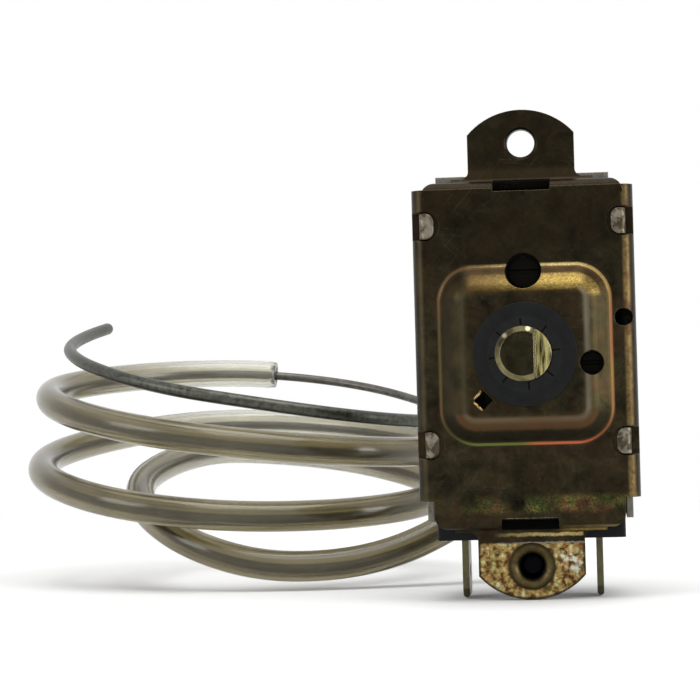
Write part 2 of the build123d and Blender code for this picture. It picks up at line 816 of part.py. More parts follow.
capsule_axis = Axis((0, 0, capsule_z), (0, 1, 0))
ripple = 0.3
with BuildPart() as diaphragm:
    with BuildSketch(Plane.YZ):
        with BuildLine():
            Polyline(
                (diaphragm_y, capsule_z),
                (diaphragm_y, capsule_z + pad_radius + 0.4),
                (diaphragm_y + ripple, capsule_z + pad_radius + 0.9),
                (diaphragm_y + ripple, capsule_z + back_hole_radius + 0.3),
                (diaphragm_y, capsule_z + back_hole_radius + 0.8),
                (diaphragm_y, capsule_z + capsule_radius - 0.3),
            )
            offset(amount=diaphragm_thickness, side=Side.RIGHT)
        make_face()
    revolve(axis=capsule_axis)
save(diaphragm.part, "diaphragm")

dome_radius = capsule_radius - capsule_rim
with BuildPart() as capsule_back:
    with BuildSketch(face_at(capsule_back_y + capsule_skin)):
        with Locations((0, capsule_z)):
            Circle(capsule_radius)
    extrude(amount=capsule_skin)
    with BuildSketch(face_at(capsule_back_y + capsule_skin)):
        with Locations((0, capsule_z)):
            Circle(dome_radius)
    extrude(amount=-capsule_dome)
    dome_edge = capsule_back.faces().sort_by(Axis.Y)[-1].edges()
    fillet(dome_edge, 1.6)
    with BuildSketch(face_at(capsule_back_y)):
        with Locations((0, capsule_z)):
            Circle(dome_radius - capsule_skin)
    extrude(amount=-capsule_dome, mode=Mode.SUBTRACT)
    with BuildSketch(face_at(capsule_back_y + capsule_skin + capsule_dome)):
        with Locations((ferrule_x, ferrule_z)):
            Circle(capillary_radius + slot_gap)
    extrude(amount=2 * capsule_skin, mode=Mode.SUBTRACT)
save(capsule_back.part, "capsule_back")

with BuildPart() as capillary_ferrule:
    with BuildSketch(face_at(capsule_rear_y + slot_gap)):
        with Locations((ferrule_x, ferrule_z)):
            Circle(ferrule_radius)
    extrude(amount=-ferrule_length, taper=12)
    with BuildSketch(face_at(capsule_rear_y + ferrule_length + 1)):
        with Locations((ferrule_x, ferrule_z)):
            Circle(capillary_radius + slot_gap)
    extrude(amount=ferrule_length + 2, mode=Mode.SUBTRACT)
save(capillary_ferrule.part, "capillary_ferrule")

# Switch base: moulded box, open above, stepped to pass behind the lower lip
with BuildPart() as switch_base:
    with BuildSketch(Plane.XY.offset(-wall_end_z)):
        with Locations((0, (frame_front_y + base_rear_y) / 2)):
            Rectangle(2 * base_half_width, base_rear_y - frame_front_y)
    extrude(amount=base_top_z + wall_end_z)
    with BuildSketch(Plane.XY.offset(base_bottom_z)):
        with Locations((0, (nest_gap + base_rear_y) / 2)):
            Rectangle(2 * base_half_width, base_rear_y - nest_gap)
    extrude(amount=-wall_end_z - base_bottom_z)
    front_bottom = switch_base.edges().filter_by(Axis.X).filter_by(
        lambda e: abs(e.center().Y - frame_front_y) < 0.01 and abs(e.center().Z + wall_end_z) < 0.01
    )
    chamfer(front_bottom, lip_bend_radius - cover_sheet + nest_gap)
    fillet(switch_base.edges().filter_by(Axis.Z), base_edge_radius)
    with BuildSketch(Plane.XY.offset(base_floor_z)):
        with Locations((0, (cavity_front_y + cavity_rear_y) / 2)):
            Rectangle(2 * (base_half_width - base_wall), cavity_rear_y - cavity_front_y)
    extrude(amount=base_top_z - base_floor_z, mode=Mode.SUBTRACT)
    with BuildSketch(Plane.XY.offset(base_bottom_z)):
        for side in (1, -1):
            with Locations((side * terminal_x, terminal_front_y + terminal_width / 2)):
                Rectangle(terminal_thickness + 2 * slot_gap, terminal_width + 2 * slot_gap)
    extrude(amount=base_floor_z - base_bottom_z, mode=Mode.SUBTRACT)
    with BuildSketch(Plane.YZ.offset(base_half_width - base_wall / 2)):
        with Locations((frame_front_y + 4, nub_z)):
            Rectangle(nub_depth, nub_height)
    nub = extrude(amount=base_wall / 2 + frame_sheet)
    mirror(nub, about=Plane.YZ)
save(switch_base.part, "switch_base")


def terminal(side, tab_front_y, tab_inner_x):
    """Blade terminal with a contact tab folded across inside the base."""
    middle_y = terminal_front_y + terminal_width / 2
    with BuildPart() as blade:
        with BuildSketch(Plane.YZ.offset(side * terminal_x - terminal_thickness / 2)) as outline:
            with Locations((middle_y, (terminal_tip_z + terminal_top_z) / 2)):
                Rectangle(terminal_width, terminal_top_z - terminal_tip_z)
            chamfer(outline.vertices().group_by(Axis.Y)[0], 1.2)
            with Locations((middle_y, terminal_tip_z + terminal_hole_rise)):
                Circle(terminal_hole_radius, mode=Mode.SUBTRACT)
        extrude(amount=terminal_thickness)
        tip_edges = blade.faces().sort_by(Axis.Z)[0].edges().filter_by(Axis.Y)
        chamfer(tip_edges, 0.25)
        tab_bottom_z = base_floor_z + nest_gap
        with BuildSketch(face_at(tab_front_y + terminal_thickness)):
            with Locations((side * (terminal_x + tab_inner_x) / 2, (tab_bottom_z + terminal_top_z) / 2)):
                Rectangle(terminal_x - tab_inner_x, terminal_top_z - tab_bottom_z)
        extrude(amount=terminal_thickness)
    return blade.part


blade_tab_y = blade_y - nest_gap - terminal_thickness
contact_tab_y = blade_y - moving_contact_height - slot_gap - fixed_contact_height - terminal_thickness
right_terminal = terminal(1, blade_tab_y, blade_pivot_x - rivet_head_radius - 0.4)
with BuildPart() as right_terminal_drilled:
    add(right_terminal)
    with BuildSketch(face_at(blade_y)):
        with Locations((blade_pivot_x, blade_z)):
            Circle(rivet_radius + slot_gap)
    extrude(amount=2 * terminal_thickness, mode=Mode.SUBTRACT)
save(right_terminal_drilled.part, "right_terminal")

left_terminal = terminal(-1, contact_tab_y, -contact_x - contact_radius)
save(left_terminal, "left_terminal")

# Spring blade with its contact, and the fixed contact opposite
with BuildPart() as switch_blade:
    with BuildSketch(face_at(blade_rear_y)) as blade_face:
        blade_left_x = contact_x - contact_radius - 0.3
        blade_right_x = blade_pivot_x + 0.8
        with Locations(((blade_left_x + blade_right_x) / 2, blade_z)):
            Rectangle(blade_right_x - blade_left_x, 2 * blade_half_height)
        fillet(blade_face.vertices(), 0.7)
        with Locations((blade_pivot_x, blade_z)):
            Circle(rivet_radius + running_gap, mode=Mode.SUBTRACT)
    extrude(amount=blade_thickness)
save(switch_blade.part, "switch_blade")

with BuildPart() as moving_contact:
    with BuildSketch(face_at(blade_y)):
        with Locations((contact_x, blade_z)):
            Circle(contact_radius)
    extrude(amount=moving_contact_height)
    chamfer(moving_contact.faces().sort_by(Axis.Y)[0].edges(), 0.12)
save(moving_contact.part, "moving_contact")

fixed_rear_y = contact_tab_y + terminal_thickness
with BuildPart() as fixed_contact:
    with BuildSketch(face_at(fixed_rear_y + fixed_contact_height)):
        with Locations((contact_x, blade_z)):
            Circle(contact_radius)
    extrude(amount=fixed_contact_height)
    chamfer(fixed_contact.faces().sort_by(Axis.Y)[-1].edges(), 0.12)
save(fixed_contact.part, "fixed_contact")

with BuildPart() as blade_rivet:
    with BuildSketch(face_at(blade_rear_y + running_gap)):
        with Locations((blade_pivot_x, blade_z)):
            Circle(rivet_radius)
    extrude(amount=blade_rear_y + running_gap - blade_tab_y + slot_gap)
    for rear_y in (blade_tab_y - slot_gap, blade_rear_y + running_gap + rivet_head_height):
        with BuildSketch(face_at(rear_y)):
            with Locations((blade_pivot_x, blade_z)):
                Circle(rivet_head_radius)
        extrude(amount=rivet_head_height)
save(blade_rivet.part, "blade_rivet")


def coil_station(number):
    """Point of the coil, on a quarter ellipse between two quarter points."""
    quarter, step = divmod(number, stations_per_quarter)
    turn = math.radians(90 * step / stations_per_quarter)
    share = step / stations_per_quarter
    before = coil_quarters[max(quarter - 1, 0)]
    start = coil_quarters[quarter]
    end = coil_quarters[min(quarter + 1, len(coil_quarters) - 1)]
    after = coil_quarters[min(quarter + 2, len(coil_quarters) - 1)]
    if quarter % 2 == 0:
        x = start[0] + (end[0] - start[0]) * math.sin(turn)
        y = end[1] + (start[1] - end[1]) * math.cos(turn)
    else:
        x = end[0] + (start[0] - end[0]) * math.cos(turn)
        y = start[1] + (end[1] - start[1]) * math.sin(turn)
    start_slope = (end[2] - before[2]) / 2
    end_slope = (after[2] - start[2]) / 2
    z = (
        (2 * share**3 - 3 * share**2 + 1) * start[2]
        + (share**3 - 2 * share**2 + share) * start_slope
        + (3 * share**2 - 2 * share**3) * end[2]
        + (share**3 - share**2) * end_slope
    )
    return (x, y, z)


def bend_radii(points):
    """Largest tangent arc that each corner's shorter run allows."""
    radii = []
    for before, corner, after in zip(points, points[1:], points[2:]):
        run_in = Vector(corner) - Vector(before)
        run_out = Vector(after) - Vector(corner)
        half_turn = math.radians(run_in.get_angle(run_out) / 2)
        radii.append(0.45 * min(run_in.length, run_out.length) / math.tan(half_turn))
    return radii


def tube(path_edges, radius):
    """Solid round bar along straight runs and tangent arcs."""
    path = Wire(path_edges)
    with BuildPart() as swept:
        with BuildSketch(Plane(origin=path @ 0, z_dir=path % 0)) as section:
            Circle(radius)
        sweep(section.sketch, path=path)
    area = math.pi * radius**2
    print("tube volume", round(swept.part.volume, 1), "section times length", round(area * path.length, 1))
    return swept.part


def hollow_tube(path_edges, radius, bore):
    """Tube with an open bore: outer and inner skins joined by a ring at each end."""
    path = Wire(path_edges)
    outer = tube(path_edges, radius)
    inner = tube(path_edges, bore)
    skins = outer.faces().filter_by(GeomType.PLANE, reverse=True)
    skins += inner.faces().filter_by(GeomType.PLANE, reverse=True)
    rings = []
    for place in (0, 1):
        with BuildSketch(Plane(origin=path @ place, z_dir=path % place)) as ring:
            Circle(radius)
            Circle(bore, mode=Mode.SUBTRACT)
        rings.append(ring.sketch.face())
    return Solid(Shell(skins + rings))


# Capillary, sleeve and sensing tube: one route of straight runs and tangent arcs
route = [(ferrule_x, capsule_rear_y - capsule_skin, ferrule_z)]
route += exit_points
route += [coil_station(number) for number in range(coil_stations + 1)]
radii = bend_radii(route)
print("bend radii", [round(radius, 1) for radius in radii])
with BuildLine() as tube_line:
    FilletPolyline(*route, radius=radii)
route_edges = tube_line.wire().order_edges()
print("route length", round(sum(edge.length for edge in route_edges), 1))
coil_first_corner = len(exit_points)
sleeve_start = 2 * sleeve_first_run
sleeve_end = 2 * (coil_first_corner + sleeve_last_station) + 1
bulb_start = 2 * (coil_first_corner + bulb_first_station)

capillary_tube = tube(route_edges[:bulb_start], capillary_radius)
save(capillary_tube, "capillary_tube")

sleeve_edges = route_edges[sleeve_start:sleeve_end]
sleeve_edges += [route_edges[sleeve_end].trim(0, sleeve_last_arc_share)]
print("sleeve ends at", sleeve_edges[-1] @ 1)
vinyl_sleeve = hollow_tube(sleeve_edges, sleeve_radius, sleeve_bore_radius)
save(vinyl_sleeve, "vinyl_sleeve")

with BuildPart() as sensing_bulb:
    add(tube(route_edges[bulb_start:], bulb_radius))
    with Locations(Wire(route_edges[bulb_start:]) @ 1):
        Sphere(bulb_radius)
save(sensing_bulb.part, "sensing_bulb")
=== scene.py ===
# %% [markdown]
# A refrigeration temperature control, dressed for its portrait.
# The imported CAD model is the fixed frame: every rigid piece is already in its place and keeps
# its shape. This lesson adds what CAD doesn't hold: the tubing as smooth curves, a threaded bush
# and a curled rim on the cover, the finishes, the floor, the light and the camera.

# %% Load the frame
import math

import bmesh
import bpy
from mathutils import Matrix, Vector


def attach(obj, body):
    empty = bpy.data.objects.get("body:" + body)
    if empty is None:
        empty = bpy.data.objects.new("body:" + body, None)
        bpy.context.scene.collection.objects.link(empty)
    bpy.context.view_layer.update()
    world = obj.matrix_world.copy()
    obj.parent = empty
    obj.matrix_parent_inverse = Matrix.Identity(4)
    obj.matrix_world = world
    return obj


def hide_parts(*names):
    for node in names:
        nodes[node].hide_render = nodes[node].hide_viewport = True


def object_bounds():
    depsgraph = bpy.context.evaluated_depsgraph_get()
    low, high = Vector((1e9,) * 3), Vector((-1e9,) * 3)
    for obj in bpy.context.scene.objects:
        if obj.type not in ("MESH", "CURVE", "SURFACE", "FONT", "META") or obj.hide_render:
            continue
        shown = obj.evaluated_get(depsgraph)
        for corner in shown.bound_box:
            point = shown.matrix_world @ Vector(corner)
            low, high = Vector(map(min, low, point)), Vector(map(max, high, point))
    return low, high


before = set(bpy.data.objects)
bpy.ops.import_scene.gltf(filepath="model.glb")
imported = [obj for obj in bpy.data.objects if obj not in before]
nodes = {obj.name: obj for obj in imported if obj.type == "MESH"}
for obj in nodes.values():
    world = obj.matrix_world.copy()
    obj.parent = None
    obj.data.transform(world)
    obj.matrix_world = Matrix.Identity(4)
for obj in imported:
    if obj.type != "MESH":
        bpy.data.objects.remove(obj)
cad_low, cad_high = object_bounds()
MM = 0.001
scene = bpy.context.scene

# %% [markdown]
# The camera. The photograph was taken from straight ahead, about 30 cm away, with the control
# a little right of the middle. Its place and turn were solved from a dozen corners whose true
# places are known. A guess by eye would also do, but the lugs and terminals show their sides by
# less than a millimetre, and only a solved camera shows the same sides.

# %% Camera
camera_place = Vector((8.96, -314.89, -2.59)) * MM
camera_turns = (0.676, 1.578, 5.489)
photo_width = 700.0
focal_length_in_pixels = 2613.0
sensor_width = 36.0

camera_data = bpy.data.cameras.new("camera")
camera_data.sensor_width = sensor_width
camera_data.lens = sensor_width * focal_length_in_pixels / photo_width
camera_data.clip_start = 0.01
camera_data.clip_end = 20.0
camera = bpy.data.objects.new("camera", camera_data)
scene.collection.objects.link(camera)
pitch, roll, yaw = (math.radians(turn) for turn in camera_turns)
aim = Matrix.Rotation(yaw, 3, "Z") @ Matrix.Rotation(pitch, 3, "X") @ Matrix.Rotation(roll, 3, "Y")
facing_the_front = Matrix(((1, 0, 0), (0, 0, -1), (0, 1, 0)))
camera.matrix_world = Matrix.Translation(camera_place) @ (aim @ facing_the_front).to_4x4()
scene.camera = camera
print("camera at", [round(value, 4) for value in camera.location])

# %% [markdown]
# The tubing. On the real control a hair-thin capillary leaves the pressure capsule, runs inside
# a translucent vinyl sleeve for most of its way, and ends in a slightly thicker sensing tube.
# It holds the loose coil that it was bent to. One smooth curve is the natural model: the same
# points as the CAD route, used as control points of a NURBS curve, so there is no kink at any of
# them. Straight runs joined by arcs would follow the same route, but would show their joins. The
# sleeve and the sensing tube then follow points read back from that one curve, which keeps all
# three on one centreline.

# %% Route of the tubing, in millimetres
ferrule_exit = (3.0, 18.6, -1.5)
exit_points = [
    (3.0, 24.0, -1.5), (2.2, 28.4, -4.6), (0.9, 30.6, -9.2), (-1.4, 30.6, -13.8),
    (-5.0, 28.8, -18.0), (-10.4, 25.9, -21.6), (-17.6, 23.2, -25.0), (-25.8, 21.2, -26.6),
]
coil_quarters = [
    (-35.9, 20.5, -26.4), (-55.4, 43.0, -16.2), (-44.0, 67.0, -12.2), (-12.8, 47.0, -18.5),
    (-40.5, 20.0, -19.9), (-70.4, 48.5, -13.0), (-46.8, 77.0, -8.4), (-13.2, 49.0, -12.6),
    (-38.0, 20.5, -10.5), (-69.2, 49.0, -3.2), (-41.4, 77.0, -1.2), (-11.6, 50.0, -8.3),
    (-33.1, 20.5, -5.6), (-66.8, 51.0, 4.0), (-41.9, 80.0, 8.5),
]
stations_per_quarter = 3
coil_stations = 40


def coil_station(number):
    """Point of the coil, on a quarter ellipse between two quarter points."""
    quarter, step = divmod(number, stations_per_quarter)
    turn = math.radians(90 * step / stations_per_quarter)
    share = step / stations_per_quarter
    before = coil_quarters[max(quarter - 1, 0)]
    start = coil_quarters[quarter]
    end = coil_quarters[min(quarter + 1, len(coil_quarters) - 1)]
    after = coil_quarters[min(quarter + 2, len(coil_quarters) - 1)]
    if quarter % 2 == 0:
        x = start[0] + (end[0] - start[0]) * math.sin(turn)
        y = end[1] + (start[1] - end[1]) * math.cos(turn)
    else:
        x = end[0] + (start[0] - end[0]) * math.cos(turn)
        y = start[1] + (end[1] - start[1]) * math.sin(turn)
    start_slope = (end[2] - before[2]) / 2
    end_slope = (after[2] - start[2]) / 2
    z = (
        (2 * share**3 - 3 * share**2 + 1) * start[2]
        + (share**3 - 2 * share**2 + share) * start_slope
        + (3 * share**2 - 2 * share**3) * end[2]
        + (share**3 - share**2) * end_slope
    )
    return (x, y, z)


first_coil_point = 1 + len(exit_points)
route = [ferrule_exit] + exit_points
route += [coil_station(number) for number in range(coil_stations + 1)]
print("route points", len(route))


# %% One smooth curve through the route
def nurbs_line(name, points, radius=0.0):
    """Open NURBS curve of order 3 on the given control points, in millimetres.

    The points carry the wire's radius in metres, so a bevel depth of 1 gives the wire, and the
    curve's own box is as wide as the wire.
    """
    curve = bpy.data.curves.new(name, "CURVE")
    curve.dimensions = "3D"
    curve.resolution_u = 12
    spline = curve.splines.new("NURBS")
    spline.points.add(len(points) - 1)
    for point, spot in zip(spline.points, points):
        point.co = (*(value * MM for value in spot), 1.0)
        point.radius = radius
    spline.order_u = 3
    spline.use_endpoint_u = True
    return curve


def line_points(curve):
    """Points along a curve that has no bevel yet, in metres."""
    carrier = bpy.data.objects.new("carrier", curve)
    scene.collection.objects.link(carrier)
    bpy.context.view_layer.update()
    mesh = bpy.data.meshes.new_from_object(carrier)
    spots = [vertex.co.copy() for vertex in mesh.vertices]
    bpy.data.objects.remove(carrier)
    bpy.data.meshes.remove(mesh)
    return spots


def run_length(spots):
    """Length of a run of points."""
    return sum((b - a).length for a, b in zip(spots, spots[1:]))


whole_line = line_points(nurbs_line("whole_route", route))
print("whole route", round(run_length(whole_line), 4), "m in", len(whole_line), "points")


# %% Where the sleeve and the sensing tube begin and end
def nearest(spots, target):
    """Number of the point that is nearest to a place in millimetres."""
    spot = Vector(target) * MM
    return min(range(len(spots)), key=lambda i: (spots[i] - spot).length)


def midway(a, b):
    """Point halfway between two route points."""
    return tuple((p + q) / 2 for p, q in zip(a, b))


sleeve_start_point = midway(route[4], route[5])
sleeve_end_point = (-40.1, 76.2, -1.5)
last_thin_point = first_coil_point + 32
bulb_start_point = midway(route[last_thin_point], route[last_thin_point + 1])
sleeve_from = nearest(whole_line, sleeve_start_point)
sleeve_to = nearest(whole_line, sleeve_end_point)
bulb_from = nearest(whole_line, bulb_start_point)
print("sleeve from", sleeve_from, "to", sleeve_to, "sensing tube from", bulb_from)

# %% [markdown]
# The sleeve is a tube with an open bore, cut square, and the capillary shows in its mouth. A
# curve with a round bevel would make a solid rod, so the sleeve is a mesh: rings of points are
# carried along the centreline without twisting, once for the outer skin and once for the bore,
# and the two are joined by a ring at each end. The wire is thinner than the bore and lies on its
# bottom, so the sleeve sits a little higher than the route and the wire a little lower. Seen
# through the wall, the wire is the dark line below the middle of every turn.

# %% Tube maker
def carried_frames(spots):
    """Centre, side and up of the rings along a line, carried along it without twist."""
    frames = []
    side = None
    for i, spot in enumerate(spots):
        before = spots[max(i - 1, 0)]
        after = spots[min(i + 1, len(spots) - 1)]
        ahead = (after - before).normalized()
        if side is None:
            side = ahead.cross(Vector((0, 0, 1))).normalized()
        side = (side - ahead * side.dot(ahead)).normalized()
        frames.append((spot, side, ahead.cross(side)))
    return frames


def ring_points(mesh, frame_here, radius, sides):
    """One ring of points round a place on the line."""
    centre, side, up = frame_here
    turns = [2 * math.pi * k / sides for k in range(sides)]
    return [
        mesh.verts.new(centre + (side * math.cos(turn) + up * math.sin(turn)) * radius)
        for turn in turns
    ]


def bridge(mesh, ring_a, ring_b):
    """Faces between two rings of the same number of points."""
    sides = len(ring_a)
    for k in range(sides):
        n = (k + 1) % sides
        mesh.faces.new((ring_a[k], ring_a[n], ring_b[n], ring_b[k]))


def bridge_all(mesh, rings):
    """Faces between each ring and the next."""
    for ring_a, ring_b in zip(rings, rings[1:]):
        bridge(mesh, ring_a, ring_b)


def finish_mesh(mesh, name):
    """Object that rides the housing, smooth shaded, with its faces turned outwards."""
    bmesh.ops.recalc_face_normals(mesh, faces=mesh.faces)
    data = bpy.data.meshes.new(name)
    mesh.to_mesh(data)
    mesh.free()
    for face in data.polygons:
        face.use_smooth = True
    piece = bpy.data.objects.new(name, data)
    scene.collection.objects.link(piece)
    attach(piece, "housing")
    return piece


print("tube maker ready")

# %% Vinyl sleeve
sleeve_radius = 2.0 * MM
bore_radius = 1.1 * MM
cut_rounding = 0.12 * MM
sleeve_sides = 32
sleeve_rise = Vector((0, 0, 0.15 * MM))
bore_slot = 1

sleeve_line = [spot + sleeve_rise for spot in whole_line[sleeve_from:sleeve_to + 1]]
sleeve_frames = carried_frames(sleeve_line)
mesh = bmesh.new()
outer = [ring_points(mesh, here, sleeve_radius, sleeve_sides) for here in sleeve_frames[1:-1]]
inner = [ring_points(mesh, here, bore_radius, sleeve_sides) for here in sleeve_frames]
bridge_all(mesh, outer)
bridge_all(mesh, inner)
for end in (0, -1):
    cut_ring = ring_points(mesh, sleeve_frames[end], sleeve_radius - cut_rounding, sleeve_sides)
    bridge_all(mesh, [outer[end], cut_ring, inner[end]])
skin_points = {vertex for ring in outer for vertex in ring}
for face in mesh.faces:
    if skin_points.isdisjoint(face.verts):
        face.material_index = bore_slot
sleeve = finish_mesh(mesh, "sleeve_tube")
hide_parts("vinyl_sleeve")
print("sleeve", round(run_length(sleeve_line), 4), "m")

# %% [markdown]
# The capillary is the one piece of the tubing that is a plain round wire, so it stays a real
# curve with a round bevel. It is cut from the same route where the sensing tube takes over. The
# sensing tube is a mesh again, because its ends aren't plain: it starts in a short soldered
# collar and ends in a closed, rounded tip.

# %% Capillary
capillary_radius = 0.6 * MM
wire_sag_mm = 0.20
sagging_points = range(6, last_thin_point - 3)

capillary_route = route[:last_thin_point + 1] + [bulb_start_point]
for number in sagging_points:
    x, y, z = capillary_route[number]
    capillary_route[number] = (x, y, z - wire_sag_mm)
capillary_curve = nurbs_line("capillary_wire", capillary_route, capillary_radius)
capillary_length = run_length(line_points(nurbs_line("capillary_measure", capillary_route)))
capillary_curve.bevel_depth = 1.0
capillary_curve.bevel_resolution = 5
capillary_curve.use_fill_caps = True
capillary = bpy.data.objects.new("capillary_wire", capillary_curve)
scene.collection.objects.link(capillary)
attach(capillary, "housing")
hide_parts("capillary_tube")
print("capillary", round(capillary_length, 4), "m")

# %% Sensing tube
bulb_radius = 0.85 * MM
collar_radius = 0.72 * MM
collar_length = 1.2 * MM
bulb_sides = 24
tip_turns = [math.radians(degrees) for degrees in (22, 52, 82)]
tip_flattening = 0.9

bulb_line = whole_line[bulb_from:]
bulb_frames = carried_frames(bulb_line)
mesh = bmesh.new()
rings = []
for i, here in enumerate(bulb_frames):
    in_collar = run_length(bulb_line[:i + 1]) < collar_length
    rings.append(ring_points(mesh, here, collar_radius if in_collar else bulb_radius, bulb_sides))
tip_centre, tip_side, tip_up = bulb_frames[-1]
tip_ahead = tip_side.cross(tip_up)
if tip_ahead.dot(bulb_line[-1] - bulb_line[-2]) < 0:
    tip_ahead = -tip_ahead
for turn in tip_turns:
    centre = tip_centre + tip_ahead * (bulb_radius * math.sin(turn) * tip_flattening)
    dome_radius = bulb_radius * math.cos(turn)
    rings.append(ring_points(mesh, (centre, tip_side, tip_up), dome_radius, bulb_sides))
bridge_all(mesh, rings)
mesh.faces.new(rings[0])
mesh.faces.new(rings[-1])
bulb = finish_mesh(mesh, "sensing_tube")
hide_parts("sensing_bulb")
print("sensing tube", round(run_length(bulb_line), 4), "m")

# %% [markdown]
# The lower ear's hole is dark and has a wide, soft flare, where the upper one is open. Such a
# hole carries a blind threaded bush: a turned flange lies in the flare, the thread runs back
# through the collar, and a closed end keeps the dirt out. The whole bush is one lathe profile,
# and the thread is the same lathe with its radius rising and falling along a helix. A plain
# ring and a dark disc would look alike from the front, but not from the side or behind.

# %% Threaded bush: profile of radius and depth, in millimetres
ear_hole = (0.0, -25.4)
bush_sides = 48
thread_pitch = 0.5
thread_depth = 0.11
thread_step = 0.05
bush_skin = [
    (0.15, 2.62), (1.10, 2.60), (1.45, 2.42), (1.60, 2.10), (1.60, 1.25), (1.60, -0.10),
    (1.75, -0.52), (2.10, -0.86), (2.45, -0.955), (2.72, -0.925), (2.80, -0.965), (2.72, -1.04),
    (2.50, -1.06), (2.20, -0.97), (1.90, -0.78), (1.62, -0.50), (1.45, -0.30),
]
thread_skin = [(1.36, -0.20 + thread_step * step) for step in range(45)]
bush_bottom = [(1.30, 2.10), (0.95, 2.22), (0.15, 2.24)]


def lathe_ring(mesh, radius, y, groove=0.0):
    """Ring of points round the ear's hole, cut by a helical groove where it has a thread."""
    ring = []
    for k in range(bush_sides):
        turn = 2 * math.pi * k / bush_sides
        phase = (y / thread_pitch - turn / (2 * math.pi)) % 1.0
        reach = radius - groove * (1.0 - abs(2.0 * phase - 1.0))
        x = ear_hole[0] + reach * math.cos(turn)
        z = ear_hole[1] + reach * math.sin(turn)
        ring.append(mesh.verts.new(Vector((x, y, z)) * MM))
    return ring


mesh = bmesh.new()
rings = [lathe_ring(mesh, *spot) for spot in bush_skin]
rings += [lathe_ring(mesh, *spot, thread_depth) for spot in thread_skin]
rings += [lathe_ring(mesh, *spot) for spot in bush_bottom]
bridge_all(mesh, rings)
mesh.faces.new(rings[0])
mesh.faces.new(rings[-1])
bush = finish_mesh(mesh, "threaded_bush")
print("threaded bush", len(bush.data.polygons), "faces")

# %% [markdown]
# Beside the washer the cover is lanced: a punch has cut a small square window and lifted its two
# left edges into a thin curled rim, which catches the light. Each edge is a strip of sheet bent
# along an arc, so it is swept: a section of the strip's thickness is carried along the arc, and
# its corners stay crisp enough to glint.

# %% Lanced rim, in millimetres
window_centre = Vector((-5.0, -6.38, -5.35))
window_half_diagonal = 1.13
rim_thickness = 0.20
rim_radius = 0.34
rim_sweep = math.radians(62)
rim_steps = 7
rim_taper = 0.12
forwards = Vector((0.0, -1.0, 0.0))


def curled_strip(mesh, start, end, away):
    """Strip of sheet along an edge, curling up and away from the window, in millimetres."""
    sections = []
    for step in range(rim_steps + 1):
        turn = rim_sweep * step / rim_steps
        taper = rim_taper * step / rim_steps
        out = rim_radius * (1 - math.cos(turn)) + rim_thickness / 2
        centre = away * out + forwards * (rim_radius * math.sin(turn))
        half_wall = (away * math.cos(turn) - forwards * math.sin(turn)) * (rim_thickness / 2)
        near_end = start.lerp(end, taper) + centre
        far_end = start.lerp(end, 1 - taper) + centre
        corners = (near_end + half_wall, near_end - half_wall, far_end - half_wall, far_end + half_wall)
        sections.append([mesh.verts.new(corner * MM) for corner in corners])
    bridge_all(mesh, sections)
    mesh.faces.new(sections[0])
    mesh.faces.new(sections[-1])


left_corner = window_centre - Vector((window_half_diagonal, 0, 0))
mesh = bmesh.new()
for rise in (1, -1):
    far_corner = window_centre + Vector((0, 0, rise * window_half_diagonal))
    curled_strip(mesh, left_corner, far_corner, Vector((-1, 0, rise)).normalized())
lanced_rim = finish_mesh(mesh, "lanced_rim")
print("lanced rim", len(lanced_rim.data.polygons), "faces")

# %% [markdown]
# Every finish below is a small tree of nodes. Writing each link by hand would bury the idea in
# wiring, so a few helpers stand for the nodes that come up again: a sum, a blend, a range, and
# a node with its plain values. A colour is written as its three numbers.

# %% Node helpers
def node(tree, kind, **settings):
    """New node in a tree, with its plain settings."""
    made = tree.nodes.new(kind)
    for name, value in settings.items():
        setattr(made, name, value)
    return made


def feed(tree, source, target):
    """Link an output, or set a plain value or colour."""
    if isinstance(source, bpy.types.NodeSocket):
        tree.links.new(source, target)
    elif target.type == "RGBA":
        target.default_value = (*source, 1)
    else:
        target.default_value = source


def maths(tree, operation, a, b=None, clamp=False):
    """Result of one Math node."""
    made = node(tree, "ShaderNodeMath", operation=operation, use_clamp=clamp)
    feed(tree, a, made.inputs[0])
    if b is not None:
        feed(tree, b, made.inputs[1])
    return made.outputs[0]


def blend(tree, share, low, high):
    """Mix of two colours by a share."""
    made = node(tree, "ShaderNodeMix", data_type="RGBA")
    for number, source in ((0, share), (6, low), (7, high)):
        feed(tree, source, made.inputs[number])
    return made.outputs[2]


def remap(tree, value, low, high, new_low=0.0, new_high=1.0, smooth=False):
    """Value moved from one range to another and held inside it."""
    made = node(tree, "ShaderNodeMapRange", interpolation_type="SMOOTHSTEP" if smooth else "LINEAR")
    for number, source in enumerate((value, low, high, new_low, new_high)):
        feed(tree, source, made.inputs[number])
    return made.outputs[0]


def object_place(tree):
    """Place on the object in its own axes, in metres."""
    return node(tree, "ShaderNodeTexCoord").outputs["Object"]


def new_material(name):
    """Empty material with a Principled shader at its output."""
    material = bpy.data.materials.new(name)
    material.use_nodes = True
    tree = material.node_tree
    tree.nodes.clear()
    output = node(tree, "ShaderNodeOutputMaterial")
    shader = node(tree, "ShaderNodeBsdfPrincipled")
    tree.links.new(shader.outputs[0], output.inputs[0])
    return material, tree, shader


def set_plain(made, **settings):
    """Values of a node that are the same everywhere. An underscore stands for a space."""
    for name, value in settings.items():
        made.inputs[name.replace("_", " ")].default_value = value


def seen_directly(tree):
    """One for the camera's rays and for those that metal and glass send on."""
    rays = node(tree, "ShaderNodeLightPath").outputs
    seen = maths(tree, "MAXIMUM", rays["Is Camera Ray"], rays["Is Glossy Ray"])
    return maths(tree, "MAXIMUM", seen, rays["Is Transmission Ray"])


def mix_shaders(tree, share, first, second, target):
    """Two shaders mixed by a share, on the way to a target."""
    mixed = node(tree, "ShaderNodeMixShader")
    for number, source in enumerate((share, first.outputs[0], second.outputs[0])):
        tree.links.new(source, mixed.inputs[number])
    tree.links.new(mixed.outputs[0], target)


print("node helpers ready")

